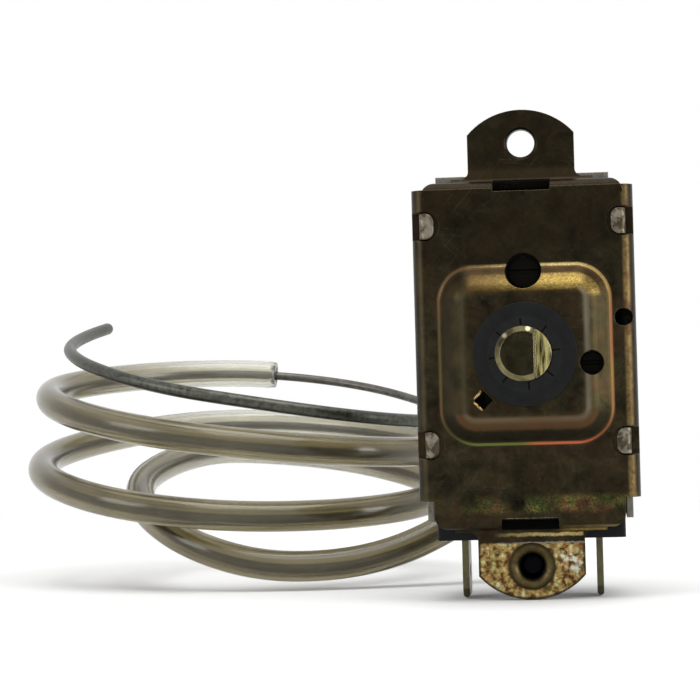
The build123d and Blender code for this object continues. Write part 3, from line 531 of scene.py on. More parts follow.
# %% [markdown]
# The floor and the light. The photograph is a product shot on white. A pale floor takes the
# soft shadow close to the control and fades into plain white further out, so no horizon shows.
# The world is plain white to the eye and in reflections, and only a soft grey as a lamp. More
# light would also whiten the background, but it would wash out the dark film on the steel.

# %% Floor
floor_z = cad_low.z - 0.05 * MM
floor_reach = 3.0
floor_colour = (0.86, 0.86, 0.855)
fade_centre = (-0.02, 0.03, floor_z)
fade_from, fade_to = 0.08, 0.22

corners = [
    (x * floor_reach, y * floor_reach, floor_z) for x, y in ((-1, -1), (1, -1), (1, 1), (-1, 1))
]
floor_data = bpy.data.meshes.new("floor")
floor_data.from_pydata(corners, [], [(0, 1, 2, 3)])
floor = bpy.data.objects.new("floor", floor_data)
scene.collection.objects.link(floor)

floor_material, tree, shader = new_material("pale_floor")
feed(tree, floor_colour, shader.inputs["Base Color"])
set_plain(shader, Roughness=0.7, Specular_IOR_Level=0.1)
outwards = node(tree, "ShaderNodeVectorMath", operation="DISTANCE")
outwards.inputs[1].default_value = fade_centre
tree.links.new(object_place(tree), outwards.inputs[0])
fade = remap(tree, outwards.outputs["Value"], fade_from, fade_to, smooth=True)
white = node(tree, "ShaderNodeEmission")
share = maths(tree, "MULTIPLY", fade, seen_directly(tree))
mix_shaders(tree, share, shader, white, tree.get_output_node("ALL").inputs[0])
floor_data.materials.append(floor_material)
print("floor at", round(floor_z, 4), "m")

# %% World
room_light = 0.75
white_to_the_eye = 1.0

world = bpy.data.worlds.new("soft_room")
scene.world = world
world.use_nodes = True
tree = world.node_tree
tree.nodes.clear()
room, backdrop = (node(tree, "ShaderNodeBackground") for _ in range(2))
for background, strength in ((room, room_light), (backdrop, white_to_the_eye)):
    background.inputs[0].default_value = (1, 1, 1, 1)
    background.inputs[1].default_value = strength
world_output = node(tree, "ShaderNodeOutputWorld")
mix_shaders(tree, seen_directly(tree), room, backdrop, world_output.inputs[0])
print("world ready")

# %% Lamps: name, place and width in metres, power in watts
lamps = [
    ("lamp_above", (0.02, -0.10, 0.55), 0.45, 2.2),
    ("lamp_left", (-0.50, -0.25, 0.20), 0.25, 0.7),
    ("lamp_right", (0.50, -0.12, 0.10), 0.25, 0.9),
]
lit_point = Vector((0, 0.02, 0))
for name, spot, width, power in lamps:
    lamp_data = bpy.data.lights.new(name, "AREA")
    lamp_data.shape = "SQUARE"
    lamp_data.size = width
    lamp_data.energy = power
    lamp = bpy.data.objects.new(name, lamp_data)
    scene.collection.objects.link(lamp)
    lamp.location = spot
    lamp.rotation_euler = (lit_point - Vector(spot)).to_track_quat("-Z", "Y").to_euler()
scene.view_settings.view_transform = "Standard"
print("lamps", len(lamps))

# %% [markdown]
# The finishes share a few effects. Zinc and chromate are mottled in two sizes of patch, every
# handled sheet has fine pale scratches, and worked edges are rubbed brighter. Each effect is one
# node group with named inputs, so a finish is a recipe of effects with its own amounts. Object
# coordinates are used throughout: they are the part's own metres, so a scratch keeps its real
# width on every piece.

# %% Group maker
def new_group(name, inputs, outputs):
    """Node group with named inputs and outputs, and the sockets at its two ends."""
    group = bpy.data.node_groups.new(name, "ShaderNodeTree")
    for label, value in inputs:
        socket = group.interface.new_socket(name=label, in_out="INPUT", socket_type="NodeSocketFloat")
        socket.default_value = value
    for label, kind in outputs:
        group.interface.new_socket(name=label, in_out="OUTPUT", socket_type="NodeSocket" + kind)
    enter = group.nodes.new("NodeGroupInput")
    leave = group.nodes.new("NodeGroupOutput")
    return group, enter.outputs, leave.inputs


def frequency(tree, size_mm):
    """Scale of a texture whose features have a size in millimetres."""
    return maths(tree, "DIVIDE", 1 / MM, size_mm)


def noise(tree, vector, scale, detail=3.0, roughness=0.55, distortion=0.0):
    """Noise texture's value."""
    made = node(tree, "ShaderNodeTexNoise")
    tree.links.new(vector, made.inputs["Vector"])
    feed(tree, scale, made.inputs["Scale"])
    set_plain(made, Detail=detail, Roughness=roughness, Distortion=distortion)
    return made.outputs[0]


print("group maker ready")

# %% Mottle group
mottle_group, enter, leave = new_group(
    "mottle",
    [("Patch Size mm", 3.0), ("Grain Size mm", 0.3)],
    [("Patches", "Float"), ("Grain", "Float"), ("Specks", "Float")],
)
tree = mottle_group
place = object_place(tree)
grain_scale = frequency(tree, enter["Grain Size mm"])
speck_scale = maths(tree, "MULTIPLY", grain_scale, 0.45)
patches = noise(tree, place, frequency(tree, enter["Patch Size mm"]), 5.0, 0.6, 0.4)
grain = noise(tree, place, grain_scale, 2.0, 0.6)
specks = noise(tree, place, speck_scale, 1.0, 0.5)
tree.links.new(remap(tree, patches, 0.3, 0.7), leave["Patches"])
tree.links.new(remap(tree, grain, 0.3, 0.7), leave["Grain"])
tree.links.new(remap(tree, specks, 0.66, 0.76), leave["Specks"])
print("mottle group ready")

# %% Scratch group
scratch_runs = ((0.12, 26.0), (0.8, 34.0), (2.3, 30.0))
scratch_level = 0.66
scratch_width = 0.012

scratch_group, enter, leave = new_group(
    "scratches", [("Spacing mm", 4.0), ("Amount", 0.5)], [("Scratches", "Float")],
)
tree = scratch_group
place = object_place(tree)
spacing = frequency(tree, enter["Spacing mm"])
scratches = 0.0
for turn, stretch in scratch_runs:
    turned = node(tree, "ShaderNodeMapping", vector_type="TEXTURE")
    turned.inputs["Rotation"].default_value = (0.1, turn, 0.06)
    turned.inputs["Scale"].default_value = (1.0, 1.0, 1.0 / stretch)
    tree.links.new(place, turned.inputs["Vector"])
    line = noise(tree, turned.outputs[0], spacing, 2.0, 0.5, 0.15)
    off_line = maths(tree, "ABSOLUTE", maths(tree, "SUBTRACT", line, scratch_level))
    scratches = maths(tree, "MAXIMUM", scratches, remap(tree, off_line, scratch_width, 0.0))
broad = noise(tree, place, maths(tree, "MULTIPLY", spacing, 0.8), 2.0)
scratches = maths(tree, "MULTIPLY", scratches, remap(tree, broad, 0.5, 0.66))
tree.links.new(maths(tree, "MULTIPLY", scratches, enter["Amount"]), leave["Scratches"])
print("scratch group ready")

# %% Edge group
edge_radius = 0.16 * MM

edge_group, enter, leave = new_group(
    "worn_edges", [("Low", 0.02), ("High", 0.2)], [("Edges", "Float"), ("Normal", "Vector")],
)
tree = edge_group
rounded = node(tree, "ShaderNodeBevel", samples=6)
rounded.inputs["Radius"].default_value = edge_radius
flat = node(tree, "ShaderNodeNewGeometry")
alike = node(tree, "ShaderNodeVectorMath", operation="DOT_PRODUCT")
tree.links.new(rounded.outputs[0], alike.inputs[0])
tree.links.new(flat.outputs["Normal"], alike.inputs[1])
bent_away = maths(tree, "SUBTRACT", 1.0, alike.outputs["Value"])
tree.links.new(remap(tree, bent_away, enter["Low"], enter["High"]), leave["Edges"])
tree.links.new(rounded.outputs[0], leave["Normal"])
print("edge group ready")

# %% Chromate tint group
green = (0.085, 0.125, 0.025)
olive = (0.20, 0.19, 0.050)
amber = (0.23, 0.12, 0.045)
rust = (0.28, 0.060, 0.035)


def colour_ramp(tree, value, stops):
    """Colour that runs through stops of position and colour."""
    ramp = node(tree, "ShaderNodeValToRGB")
    ends = ramp.color_ramp.elements
    for element, (position, colour) in ((ends[0], stops[0]), (ends[1], stops[-1])):
        element.position = position
        element.color = (*colour, 1)
    for position, colour in stops[1:-1]:
        ends.new(position).color = (*colour, 1)
    tree.links.new(value, ramp.inputs[0])
    return ramp.outputs[0]


tint_group, enter, leave = new_group(
    "chromate_tints", [("Size mm", 4.0)], [("Tint", "Color"), ("Strength", "Float")],
)
tree = tint_group
place = object_place(tree)
scale = frequency(tree, enter["Size mm"])
flow = noise(tree, place, scale, 3.0, 0.5, 1.2)
tint = colour_ramp(tree, flow, [(0.34, green), (0.45, olive), (0.55, amber), (0.66, rust)])
tree.links.new(tint, leave["Tint"])
strength = noise(tree, place, maths(tree, "MULTIPLY", scale, 0.7), 2.0)
tree.links.new(remap(tree, strength, 0.4, 0.65), leave["Strength"])
print("groups", [group.name for group in bpy.data.node_groups])

# %% [markdown]
# A finish has to know where it is: the boss, the bends and the ear carry painted light and shade
# of their own, and their film differs too. Painting masks by hand would do for one part only.
# Here each mask is made from the piece's own place in millimetres and from the way its surface
# faces, so it follows the shape and is the same from every side.

# %% Place and slope
def use(tree, group, **values):
    """The group placed in a material, with its own values."""
    made = node(tree, "ShaderNodeGroup", node_tree=group)
    set_plain(made, **values)
    return made.outputs


def own_place(tree):
    """The part's own X, Y and Z, in millimetres."""
    in_mm = node(tree, "ShaderNodeVectorMath", operation="SCALE")
    in_mm.inputs["Scale"].default_value = 1 / MM
    axes = node(tree, "ShaderNodeSeparateXYZ")
    tree.links.new(object_place(tree), in_mm.inputs[0])
    tree.links.new(in_mm.outputs[0], axes.inputs[0])
    return axes.outputs


def own_slope(tree):
    """The way a surface faces, in the part's own axes."""
    shape = node(tree, "ShaderNodeNewGeometry")
    turned = node(
        tree, "ShaderNodeVectorTransform", vector_type="NORMAL", convert_from="WORLD", convert_to="OBJECT",
    )
    axes = node(tree, "ShaderNodeSeparateXYZ")
    tree.links.new(shape.outputs["Normal"], turned.inputs[0])
    tree.links.new(turned.outputs[0], axes.inputs[0])
    return axes.outputs


print("place and slope ready")


# %% Masks and layers
def product(tree, *masks):
    """Product of several masks."""
    result = masks[0]
    for mask in masks[1:]:
        result = maths(tree, "MULTIPLY", result, mask)
    return result


def band(tree, value, low, high, soft):
    """Mask that is one between two values and fades over a soft edge."""
    rising = remap(tree, value, low - soft, low + soft, smooth=True)
    return product(tree, rising, remap(tree, value, high + soft, high - soft, smooth=True))


def from_axis(tree, place, x, z):
    """Distance in millimetres from a line along Y through a point."""
    across = maths(tree, "SUBTRACT", place["X"], x)
    up = maths(tree, "SUBTRACT", place["Z"], z)
    squares = (maths(tree, "MULTIPLY", across, across), maths(tree, "MULTIPLY", up, up))
    return maths(tree, "SQRT", maths(tree, "ADD", *squares))


def laid_over(tree, base, *layers):
    """Colour after several layers, each a share or a tuple of masks, and a colour."""
    for share, colour in layers:
        if isinstance(share, tuple):
            share = product(tree, *share)
        base = blend(tree, share, base, colour)
    return base


def roughen(tree, shader, height, strength, depth_mm, normal=None):
    """Bump on a shader, over a rounded normal where there is one."""
    bump = node(tree, "ShaderNodeBump")
    set_plain(bump, Strength=strength, Distance=depth_mm * MM)
    feed(tree, height, bump.inputs["Height"])
    if normal is not None:
        feed(tree, normal, bump.inputs["Normal"])
    feed(tree, bump.outputs[0], shader.inputs["Normal"])


print("masks and layers ready")

# %% [markdown]
# Yellow chromate over zinc. The flat sheet is dark olive with a cloudy brown mottle and a few
# fine pale scratches. On the boss, light and shade are painted by the way each slope faces: a
# gold highlight on the upper slope, brighter to the right, a thin pale highlight along the right
# shoulder, shade on the left and under the lower shoulder, and a foot whose film tint turns
# green and red at the bottom. The lower ear breaks up into small gold, pink and green flakes,
# and its bright tone is partly painted reflection. A single bronze colour would read as paint,
# so place and slope masks steer one metal. The sheet's slots and holes are painted dark as
# shade, the top lip's upward faces carry painted shade, and the bends carry painted highlights.

# %% Yellow chromate: flat sheet
chromate, tree, shader = new_material("yellow_chromate")
mottle = use(tree, mottle_group, Patch_Size_mm=2.4, Grain_Size_mm=0.20)
clouds = use(tree, mottle_group, Patch_Size_mm=7.0, Grain_Size_mm=0.55)
crumbs = use(tree, mottle_group, Patch_Size_mm=1.0, Grain_Size_mm=0.42)
scratches = use(tree, scratch_group, Spacing_mm=8.0, Amount=0.55)
edges = use(tree, edge_group)
tints = use(tree, tint_group, Size_mm=2.5)
flakes = use(tree, tint_group, Size_mm=1.5)
place = own_place(tree)
faces = own_slope(tree)
across = maths(tree, "SUBTRACT", 1.0, maths(tree, "MULTIPLY", faces["Y"], faces["Y"]))
steep = maths(tree, "SQRT", across, clamp=True)
# Painted shade on the upward faces of the top lip.
top_lip_shade = product(tree, remap(tree, faces["Z"], 0.1, 0.4), remap(tree, place["Z"], 18.0, 19.0))
sheet = laid_over(
    tree, blend(tree, mottle["Patches"], (0.0040, 0.0035, 0.0020), (0.040, 0.031, 0.0150)),
    ((remap(tree, clouds["Patches"], 0.35, 0.85), 0.6), (0.036, 0.0195, 0.0088)),
    ((remap(tree, clouds["Grain"], 0.4, 0.9), 0.5), (0.0125, 0.0140, 0.0075)),
    ((mottle["Specks"], 0.22), (0.075, 0.062, 0.036)),
    # Darker towards the top: painted shade.
    (remap(tree, place["Z"], 4, 15, 0.0, 0.5, smooth=True), (0.0080, 0.0060, 0.0028)),
    # Steep, bent faces are a little lighter: a soft painted highlight.
    (
        remap(tree, steep, 0.25, 0.9, 0.0, 0.5, smooth=True),
        blend(tree, mottle["Patches"], (0.016, 0.012, 0.006), (0.044, 0.036, 0.019)),
    ),
    ((top_lip_shade, 0.92), (0.014, 0.0095, 0.0045)),
)
print("flat sheet ready")

# %% Yellow chromate: masks of the boss's slopes, which steer painted light and shade
boss = remap(tree, place["Y"], -3.90, -3.96)
hollow = remap(tree, place["Y"], -4.40, -4.22, smooth=True)
risen = remap(tree, place["Y"], -4.80, -5.15, smooth=True)
rounded = remap(tree, place["Y"], -5.25, -5.75, smooth=True)
foot = product(tree, hollow, band(tree, steep, 0.24, 0.50, 0.09))
shoulder = product(tree, rounded, band(tree, steep, 0.18, 0.38, 0.12))
sloped = remap(tree, steep, 0.03, 0.26, smooth=True)
facing_up, facing_down, facing_right, facing_left = (
    remap(tree, faces[axis], sign * 0.04, sign * 0.24, smooth=True)
    for axis, sign in (("Z", 1), ("Z", -1), ("X", 1), ("X", -1))
)
uneven = remap(tree, clouds["Patches"], 0.0, 1.0, 0.45, 1.0)
# Brighter to the right: painted light from the upper right.
rightward = remap(tree, place["X"], -8.5, 5, 0.08, 1.0, smooth=True)
rightward = product(tree, rightward, remap(tree, clouds["Grain"], 0.0, 1.0, 0.65, 1.0))
well_up = remap(tree, steep, 0.16, 0.36, smooth=True)
# Below the lower shoulder lies painted shade.
under_shoulder = maths(tree, "SUBTRACT", 1.0, rounded)
near_middle = remap(tree, maths(tree, "ABSOLUTE", place["X"]), 9.0, 6.0, 0.25, 1.0, smooth=True)
print("boss masks ready")

# %% Yellow chromate: painted highlights and shade on the boss, over its film tints
# Gold and pale are painted highlights, laid over brown on the upper slope; the two foot colours are film
# tints, and the right one is also a painted highlight.
gold = blend(tree, mottle["Grain"], (0.110, 0.070, 0.016), (0.36, 0.255, 0.070))
pale = blend(tree, mottle["Grain"], (0.30, 0.22, 0.075), (0.62, 0.50, 0.22))
brown = blend(tree, mottle["Patches"], (0.020, 0.0105, 0.004), (0.062, 0.034, 0.012))
right_foot = blend(tree, clouds["Patches"], (0.30, 0.215, 0.055), (0.34, 0.125, 0.065))
left_foot = blend(tree, clouds["Patches"], (0.055, 0.060, 0.020), (0.150, 0.060, 0.036))
from_left = remap(tree, place["X"], -1.0, 1.5, smooth=True)
green_to_red = blend(tree, from_left, (0.105, 0.125, 0.030), (0.40, 0.105, 0.045))
boss_film_and_light = laid_over(
    tree, blend(tree, mottle["Patches"], (0.018, 0.0145, 0.0065), (0.062, 0.048, 0.021)),
    ((tints["Strength"], 0.07), tints["Tint"]),
    # Upper slope: painted gold highlight, and a pale painted highlight line at the foot.
    ((facing_up, 0.8), brown),
    ((facing_up, risen, rightward, well_up), gold),
    ((facing_up, foot, rightward), pale),
    # Right side: pale painted highlight on the shoulder; the foot's gold and pink is film tint and painted
    # highlight.
    ((facing_right, shoulder, uneven), (0.165, 0.145, 0.108)),
    ((facing_right, foot, 0.85), right_foot),
    # Left side: painted shade, a faint painted highlight on the shoulder, and the foot's green and red
    # film tint.
    ((facing_left, 0.55), (0.017, 0.0135, 0.0065)),
    ((facing_left, shoulder, uneven, 0.4), (0.090, 0.080, 0.055)),
    ((facing_left, foot, 0.85), left_foot),
    # Lower side: a bronze tone on the rounded edge and a highlight on the shoulder, both painted light,
    # painted shade under it, and the foot's green to red film tint.
    ((facing_down, rounded, 0.75), (0.085, 0.043, 0.019)),
    ((facing_down, shoulder, uneven, 0.8), (0.115, 0.094, 0.062)),
    ((facing_down, under_shoulder, 0.7), (0.013, 0.011, 0.006)),
    ((facing_down, foot, near_middle), green_to_red),
)
colour = blend(tree, product(tree, boss, sloped), sheet, boss_film_and_light)
print("worked film ready")

# %% Yellow chromate: painted highlights on the side bends and lips, and film tints on the lower edge
# The side bends, the lower lip's right part, the slot's top edge and the top fold carry painted
# highlights; beside the right hole the bend highlight is darker.
bent = remap(tree, steep, 0.10, 0.30)
lower_down = remap(tree, place["Z"], 19.0, 6.0, 0.55, 1.0, smooth=True)
right_bend_highlight = (band(tree, place["X"], 11.75, 12.55, 0.22), bent, uneven, lower_down)
left_bend_highlight = (band(tree, place["X"], -12.55, -12.05, 0.25), bent, uneven, 0.35)
tan_or_brown = blend(tree, clouds["Grain"], (0.100, 0.052, 0.020), (0.215, 0.155, 0.062))
beside_hole = band(tree, place["Z"], 2.4, 5.6, 1.3)
bend_highlight_colour = laid_over(tree, tan_or_brown, ((beside_hole, 0.85), (0.042, 0.020, 0.010)))
tinted_edge = (
    band(tree, place["Z"], -18.8, -16.9, 0.5), remap(tree, place["X"], -9, -2, 0.3, 1.0),
    mottle["Grain"], tints["Strength"], 0.85,
)
low_lip_highlight = (band(tree, place["Z"], -21.2, -20.45, 0.08), remap(tree, place["X"], 3.0, 5.0), uneven)
slot_edge_highlight = (
    band(tree, place["Z"], -19.62, -19.46, 0.05), band(tree, place["X"], -2.9, 2.9, 0.6), mottle["Grain"],
)
top_fold_highlight = (band(tree, place["Z"], 21.0, 22.3, 0.5), uneven, 0.35)
colour = laid_over(
    tree, colour, (right_bend_highlight, bend_highlight_colour), (left_bend_highlight, (0.120, 0.095, 0.055)),
    (tinted_edge, tints["Tint"]), (low_lip_highlight, gold), (slot_edge_highlight, pale), (top_fold_highlight, (0.070, 0.050, 0.025)),
)
print("bends and lips ready")

# %% Yellow chromate: flakes on the lower ear
flake_size_mm = 0.70
flake_tones = [
    (0.0, (0.045, 0.019, 0.007)), (0.20, (0.070, 0.034, 0.012)), (0.36, (0.180, 0.105, 0.036)),
    (0.48, (0.33, 0.245, 0.075)), (0.57, (0.36, 0.165, 0.085)), (0.66, (0.29, 0.285, 0.080)),
    (0.80, (0.50, 0.42, 0.17)), (1.0, (0.56, 0.55, 0.42)),
]
waves = maths(tree, "MULTIPLY", maths(tree, "SUBTRACT", crumbs["Patches"], 0.5), 0.20)
wavy_z = maths(tree, "ADD", place["Z"], waves)
ear = remap(tree, wavy_z, -22.45, -22.80, smooth=True)
ear_face = product(tree, ear, remap(tree, steep, 0.6, 0.3))
flake_noise = noise(tree, object_place(tree), 1 / (flake_size_mm * MM), 3.0, 0.60, 0.15)
flake_noise = remap(tree, flake_noise, 0.31, 0.69)
# A pale bluish painted highlight on the right of the ear.
bluish_highlight = product(
    tree, remap(tree, place["X"], 3.0, 4.4), band(tree, place["Z"], -26.0, -23.8, 0.5),
    remap(tree, flake_noise, 0.54, 0.74, 0.0, 0.8),
)
# The flakes' colours are partly the film's own and partly painted reflection, which makes the ear bright.
flaky = laid_over(
    tree, colour_ramp(tree, flake_noise, flake_tones),
    ((flakes["Strength"], 0.35), flakes["Tint"]),
    (bluish_highlight, (0.50, 0.57, 0.56)),
    (remap(tree, clouds["Grain"], 0.45, 0.90, 0.0, 0.65), (0.060, 0.032, 0.012)),
)
colour = blend(tree, ear_face, colour, flaky)
print("flakes ready")

# %% Yellow chromate: painted shade and highlights on the rims, fold and flare of the lower ear
# The ear's rims are painted dark as shade; the fold carries a pale and a grey painted highlight.
side_rim = remap(tree, maths(tree, "ABSOLUTE", place["X"]), 6.00, 6.22)
arc_rim = remap(tree, from_axis(tree, place, 0.0, -20.89), 8.10, 8.34)
ear_rim_shade = (ear, maths(tree, "MAXIMUM", side_rim, arc_rim), 0.85)
fold_highlight = (
    band(tree, wavy_z, -21.80, -21.42, 0.10), remap(tree, place["X"], -4.5, 0.5),
    remap(tree, place["X"], 6.3, 6.0), uneven,
)
grey_highlight_line = (band(tree, wavy_z, -22.66, -22.50, 0.08), remap(tree, place["X"], -5.0, 0.0), 0.6)
around_hole = maths(tree, "ADD", from_axis(tree, place, *ear_hole), waves)
# The flare round the hole is a darker ring of painted shade.
flare = (remap(tree, around_hole, 3.10, 2.70, smooth=True), ear, 0.8)
colour = laid_over(
    tree, colour, (ear_rim_shade, (0.018, 0.013, 0.007)), (fold_highlight, pale),
    (grey_highlight_line, (0.27, 0.26, 0.21)), (flare, (0.040, 0.031, 0.014)),
)
print("ear rims ready")

# %% Yellow chromate: painted shade in the slots and holes, by place, radius and depth of the skin
shaded_holes = [
    (0.0, 9.9, 2.15, -3.95),
    (7.8, -1.2, 1.4, -6.30),
    (11.7, 4.1, 1.05, -3.60),
    (-5.0, -5.35, 1.13, -6.30),
]
slots = maths(
    tree, "ADD", band(tree, place["Z"], 19.0, 21.0, 0.1), band(tree, place["Z"], -21.0, -19.0, 0.1),
)
slot_width = band(tree, place["X"], -3.42, 3.42, 0.03)
# Painted shade fills the slots and holes below the skin.
slot_and_hole_shade = product(tree, slot_width, remap(tree, place["Y"], -3.86, -3.70), slots)
for x, z, radius, skin_y in shaded_holes:
    near = remap(tree, from_axis(tree, place, x, z), radius + 0.12, radius + 0.04)
    under_skin = remap(tree, place["Y"], skin_y, skin_y + 0.15)
    slot_and_hole_shade = maths(tree, "MAXIMUM", slot_and_hole_shade, product(tree, near, under_skin))
print("oiled holes", len(shaded_holes))

# %% Yellow chromate: wear and shader
# Off the ear, rubbed edges are lighter wear; on the ear the edges are painted dark as shade. The slots and
# holes take their painted shade here.
rubbed = blend(tree, ear, (0.115, 0.092, 0.050), (0.022, 0.018, 0.011))
rub_amount = remap(tree, ear, 0.0, 1.0, 0.5, 0.9)
colour = laid_over(
    tree, colour, (slot_and_hole_shade, (0.0030, 0.0027, 0.0022)), (scratches["Scratches"], (0.095, 0.082, 0.052)),
    ((edges["Edges"], rub_amount, maths(tree, "SUBTRACT", 1.0, slot_and_hole_shade)), rubbed),
)
feed(tree, colour, shader.inputs["Base Color"])
set_plain(shader, Metallic=0.95)
rough = remap(tree, mottle["Patches"], 0.0, 1.0, 0.30, 0.44)
rough = maths(tree, "ADD", rough, maths(tree, "MULTIPLY", slot_and_hole_shade, 0.4))
feed(tree, rough, shader.inputs["Roughness"])
crumpled = product(tree, ear, maths(tree, "ADD", crumbs["Patches"], crumbs["Grain"]), 0.7)
cut = maths(tree, "MULTIPLY", scratches["Scratches"], 1.5)
height = maths(tree, "SUBTRACT", maths(tree, "ADD", mottle["Grain"], crumpled), cut)
roughen(tree, shader, height, 0.25, 0.02, edges["Normal"])
print("yellow chromate ready")

# %% [markdown]
# The other metals follow one recipe with different amounts: a dark and a light tone mixed by
# patches, scratches, rubbed edges, and roughness that varies with the patches. A function takes
# the amounts and returns a finished material. Where the frame's lugs, folded over the cover,
# stand in front of the cover's sheet, the zinc has one more layer of darker patches with brown.
# Dark copies of zinc and brass stand for the parts inside the housing, as painted shade.

# %% Metal maker
def worn_metal(
    name, dark, light, rubbed, rough=(0.3, 0.45), patch=2.0, grain=0.2, scratch=0.5, edge_share=0.6,
    film=None,
):
    """Metal whose tone, gloss and wear vary over the surface."""
    material, tree, shader = new_material(name)
    mottle = use(tree, mottle_group, Patch_Size_mm=patch, Grain_Size_mm=grain)
    scratches = use(tree, scratch_group, Spacing_mm=4.0, Amount=scratch)
    edges = use(tree, edge_group)
    colour = laid_over(
        tree, blend(tree, mottle["Patches"], dark, light), ((mottle["Grain"], 0.3), light),
        (scratches["Scratches"], rubbed), ((edges["Edges"], edge_share), rubbed),
    )
    if film:
        colour = film(tree, colour)
    feed(tree, colour, shader.inputs["Base Color"])
    set_plain(shader, Metallic=0.9)
    feed(tree, remap(tree, mottle["Patches"], 0.0, 1.0, *rough), shader.inputs["Roughness"])
    height = maths(tree, "SUBTRACT", mottle["Grain"], scratches["Scratches"])
    roughen(tree, shader, height, 0.2, 0.015, edges["Normal"])
    return material


def lug_front_tone(tree, colour):
    """Darker patches with brown on whatever stands in front of the cover's sheet."""
    clouds = use(tree, mottle_group, Patch_Size_mm=1.3, Grain_Size_mm=0.5)
    patches = remap(tree, clouds["Patches"], 0.35, 0.65)
    film = laid_over(
        tree, blend(tree, patches, (0.016, 0.015, 0.009), (0.235, 0.215, 0.165)),
        ((clouds["Grain"], 0.35), (0.150, 0.095, 0.038)),
    )
    return blend(tree, remap(tree, own_place(tree)["Y"], -3.30, -3.42, 0.0, 0.85), colour, film)


print("metal maker ready")

# %% Metals
zinc = worn_metal(
    "bright_zinc", (0.065, 0.060, 0.047), (0.21, 0.20, 0.17), (0.38, 0.36, 0.31), patch=1.4, film=lug_front_tone,
)
terminal_brass = worn_metal(
    "dull_brass", (0.042, 0.037, 0.019), (0.115, 0.105, 0.055), (0.24, 0.21, 0.12), patch=1.5,
)
# Dark copies of zinc and brass: painted shade for the parts inside the housing.
shaded_zinc = worn_metal(
    "shaded_zinc", (0.006, 0.006, 0.005), (0.022, 0.021, 0.017), (0.06, 0.057, 0.045),
    rough=(0.35, 0.5), patch=1.6,
)
shaded_brass = worn_metal(
    "shaded_brass", (0.0030, 0.0028, 0.0020), (0.0075, 0.0065, 0.0045), (0.014, 0.012, 0.008),
    rough=(0.4, 0.55), patch=1.0, scratch=0.2,
)
spring_steel = worn_metal("spring_steel", (0.2, 0.2, 0.2), (0.4, 0.4, 0.4), (0.6, 0.6, 0.6))
copper = worn_metal("copper_alloy", (0.34, 0.16, 0.08), (0.55, 0.30, 0.17), (0.75, 0.48, 0.30))
silver = worn_metal("contact_silver", (0.55, 0.54, 0.5), (0.8, 0.79, 0.75), (0.9, 0.9, 0.86), scratch=0.2)
tube_grey = worn_metal(
    "tube_grey", (0.018, 0.019, 0.014), (0.105, 0.106, 0.088), (0.30, 0.30, 0.26),
    rough=(0.26, 0.46), patch=0.7, grain=0.12, edge_share=0.0,
)
wire_grey = worn_metal(
    "wire_grey", (0.060, 0.057, 0.048), (0.150, 0.144, 0.126), (0.28, 0.27, 0.24),
    rough=(0.3, 0.42), patch=1.2, grain=0.12, scratch=0.3, edge_share=0.0,
)
print("metals ready")

# %% [markdown]
# The shaft is turned from brass bar. Its end face carries the fine rings of the parting tool and
# is painted dark as shade, while the milled flat is clean and the chamfer dull, with painted
# shade on its upper side and two painted highlight glints. Rings in the bump follow the distance
# from the axis, and a slope mask parts the dark face from the chamfer. A picture of rings would
# look the same, but would have to be laid on the face by hand.

# %% Shaft brass: the round side and the chamfer
shaft_brass, tree, shader = new_material("turned_brass")
mottle = use(tree, mottle_group, Patch_Size_mm=1.6, Grain_Size_mm=0.16)
edges = use(tree, edge_group)
scratches = use(tree, scratch_group, Spacing_mm=3.5, Amount=0.4)
place = own_place(tree)
faces = own_slope(tree)
towards_end = maths(tree, "ABSOLUTE", faces["Y"])
# Two painted highlight glints on the chamfer.
glint_spots = [(-2.0, 2.1), (0.7, 2.85)]

side = blend(tree, mottle["Patches"], (0.16, 0.135, 0.055), (0.40, 0.345, 0.165))
dull = blend(tree, mottle["Patches"], (0.080, 0.070, 0.030), (0.235, 0.205, 0.100))
shaded = blend(tree, mottle["Patches"], (0.022, 0.019, 0.008), (0.070, 0.060, 0.027))
# The chamfer's upper side is painted shade.
dull = blend(tree, remap(tree, faces["Z"], -0.25, 0.35, smooth=True), dull, shaded)
for glint_spot in glint_spots:
    bright = remap(tree, from_axis(tree, place, *glint_spot), 0.42, 0.10, smooth=True)
    dull = blend(tree, bright, dull, (0.38, 0.345, 0.20))
side = blend(tree, band(tree, towards_end, 0.5, 0.88, 0.05), side, dull)
print("shaft side ready")

# %% Shaft brass: the end face and shader
ring_spacing_mm = 0.12
streak_place = node(tree, "ShaderNodeMapping")
streak_place.inputs["Scale"].default_value = (1.0, 1.0, 0.12)
tree.links.new(object_place(tree), streak_place.inputs["Vector"])
streaks = remap(tree, noise(tree, streak_place.outputs[0], 2600.0, 2.0), 0.42, 0.62)
milled = blend(tree, streaks, (0.030, 0.026, 0.008), (0.44, 0.39, 0.16))
# The end face is painted dark as shade.
shaded_face_tone = blend(tree, mottle["Patches"], (0.0095, 0.0078, 0.0030), (0.026, 0.022, 0.011))
face = blend(tree, remap(tree, place["X"], 1.40, 1.46), shaded_face_tone, milled)
colour = laid_over(
    tree, side, (remap(tree, towards_end, 0.86, 0.97, smooth=True), face),
    ((scratches["Scratches"], 0.5), (0.40, 0.35, 0.2)), ((edges["Edges"], 0.55), (0.52, 0.47, 0.29)),
)
feed(tree, colour, shader.inputs["Base Color"])
set_plain(shader, Metallic=0.95)
feed(tree, remap(tree, mottle["Patches"], 0.0, 1.0, 0.18, 0.32), shader.inputs["Roughness"])
ring_turns = maths(tree, "MULTIPLY", from_axis(tree, place, 0.0, 0.0), 2 * math.pi / ring_spacing_mm)
height = maths(tree, "ADD", maths(tree, "SINE", ring_turns), mottle["Grain"])
roughen(tree, shader, height, 0.12, 0.01, edges["Normal"])
print("shaft brass ready")

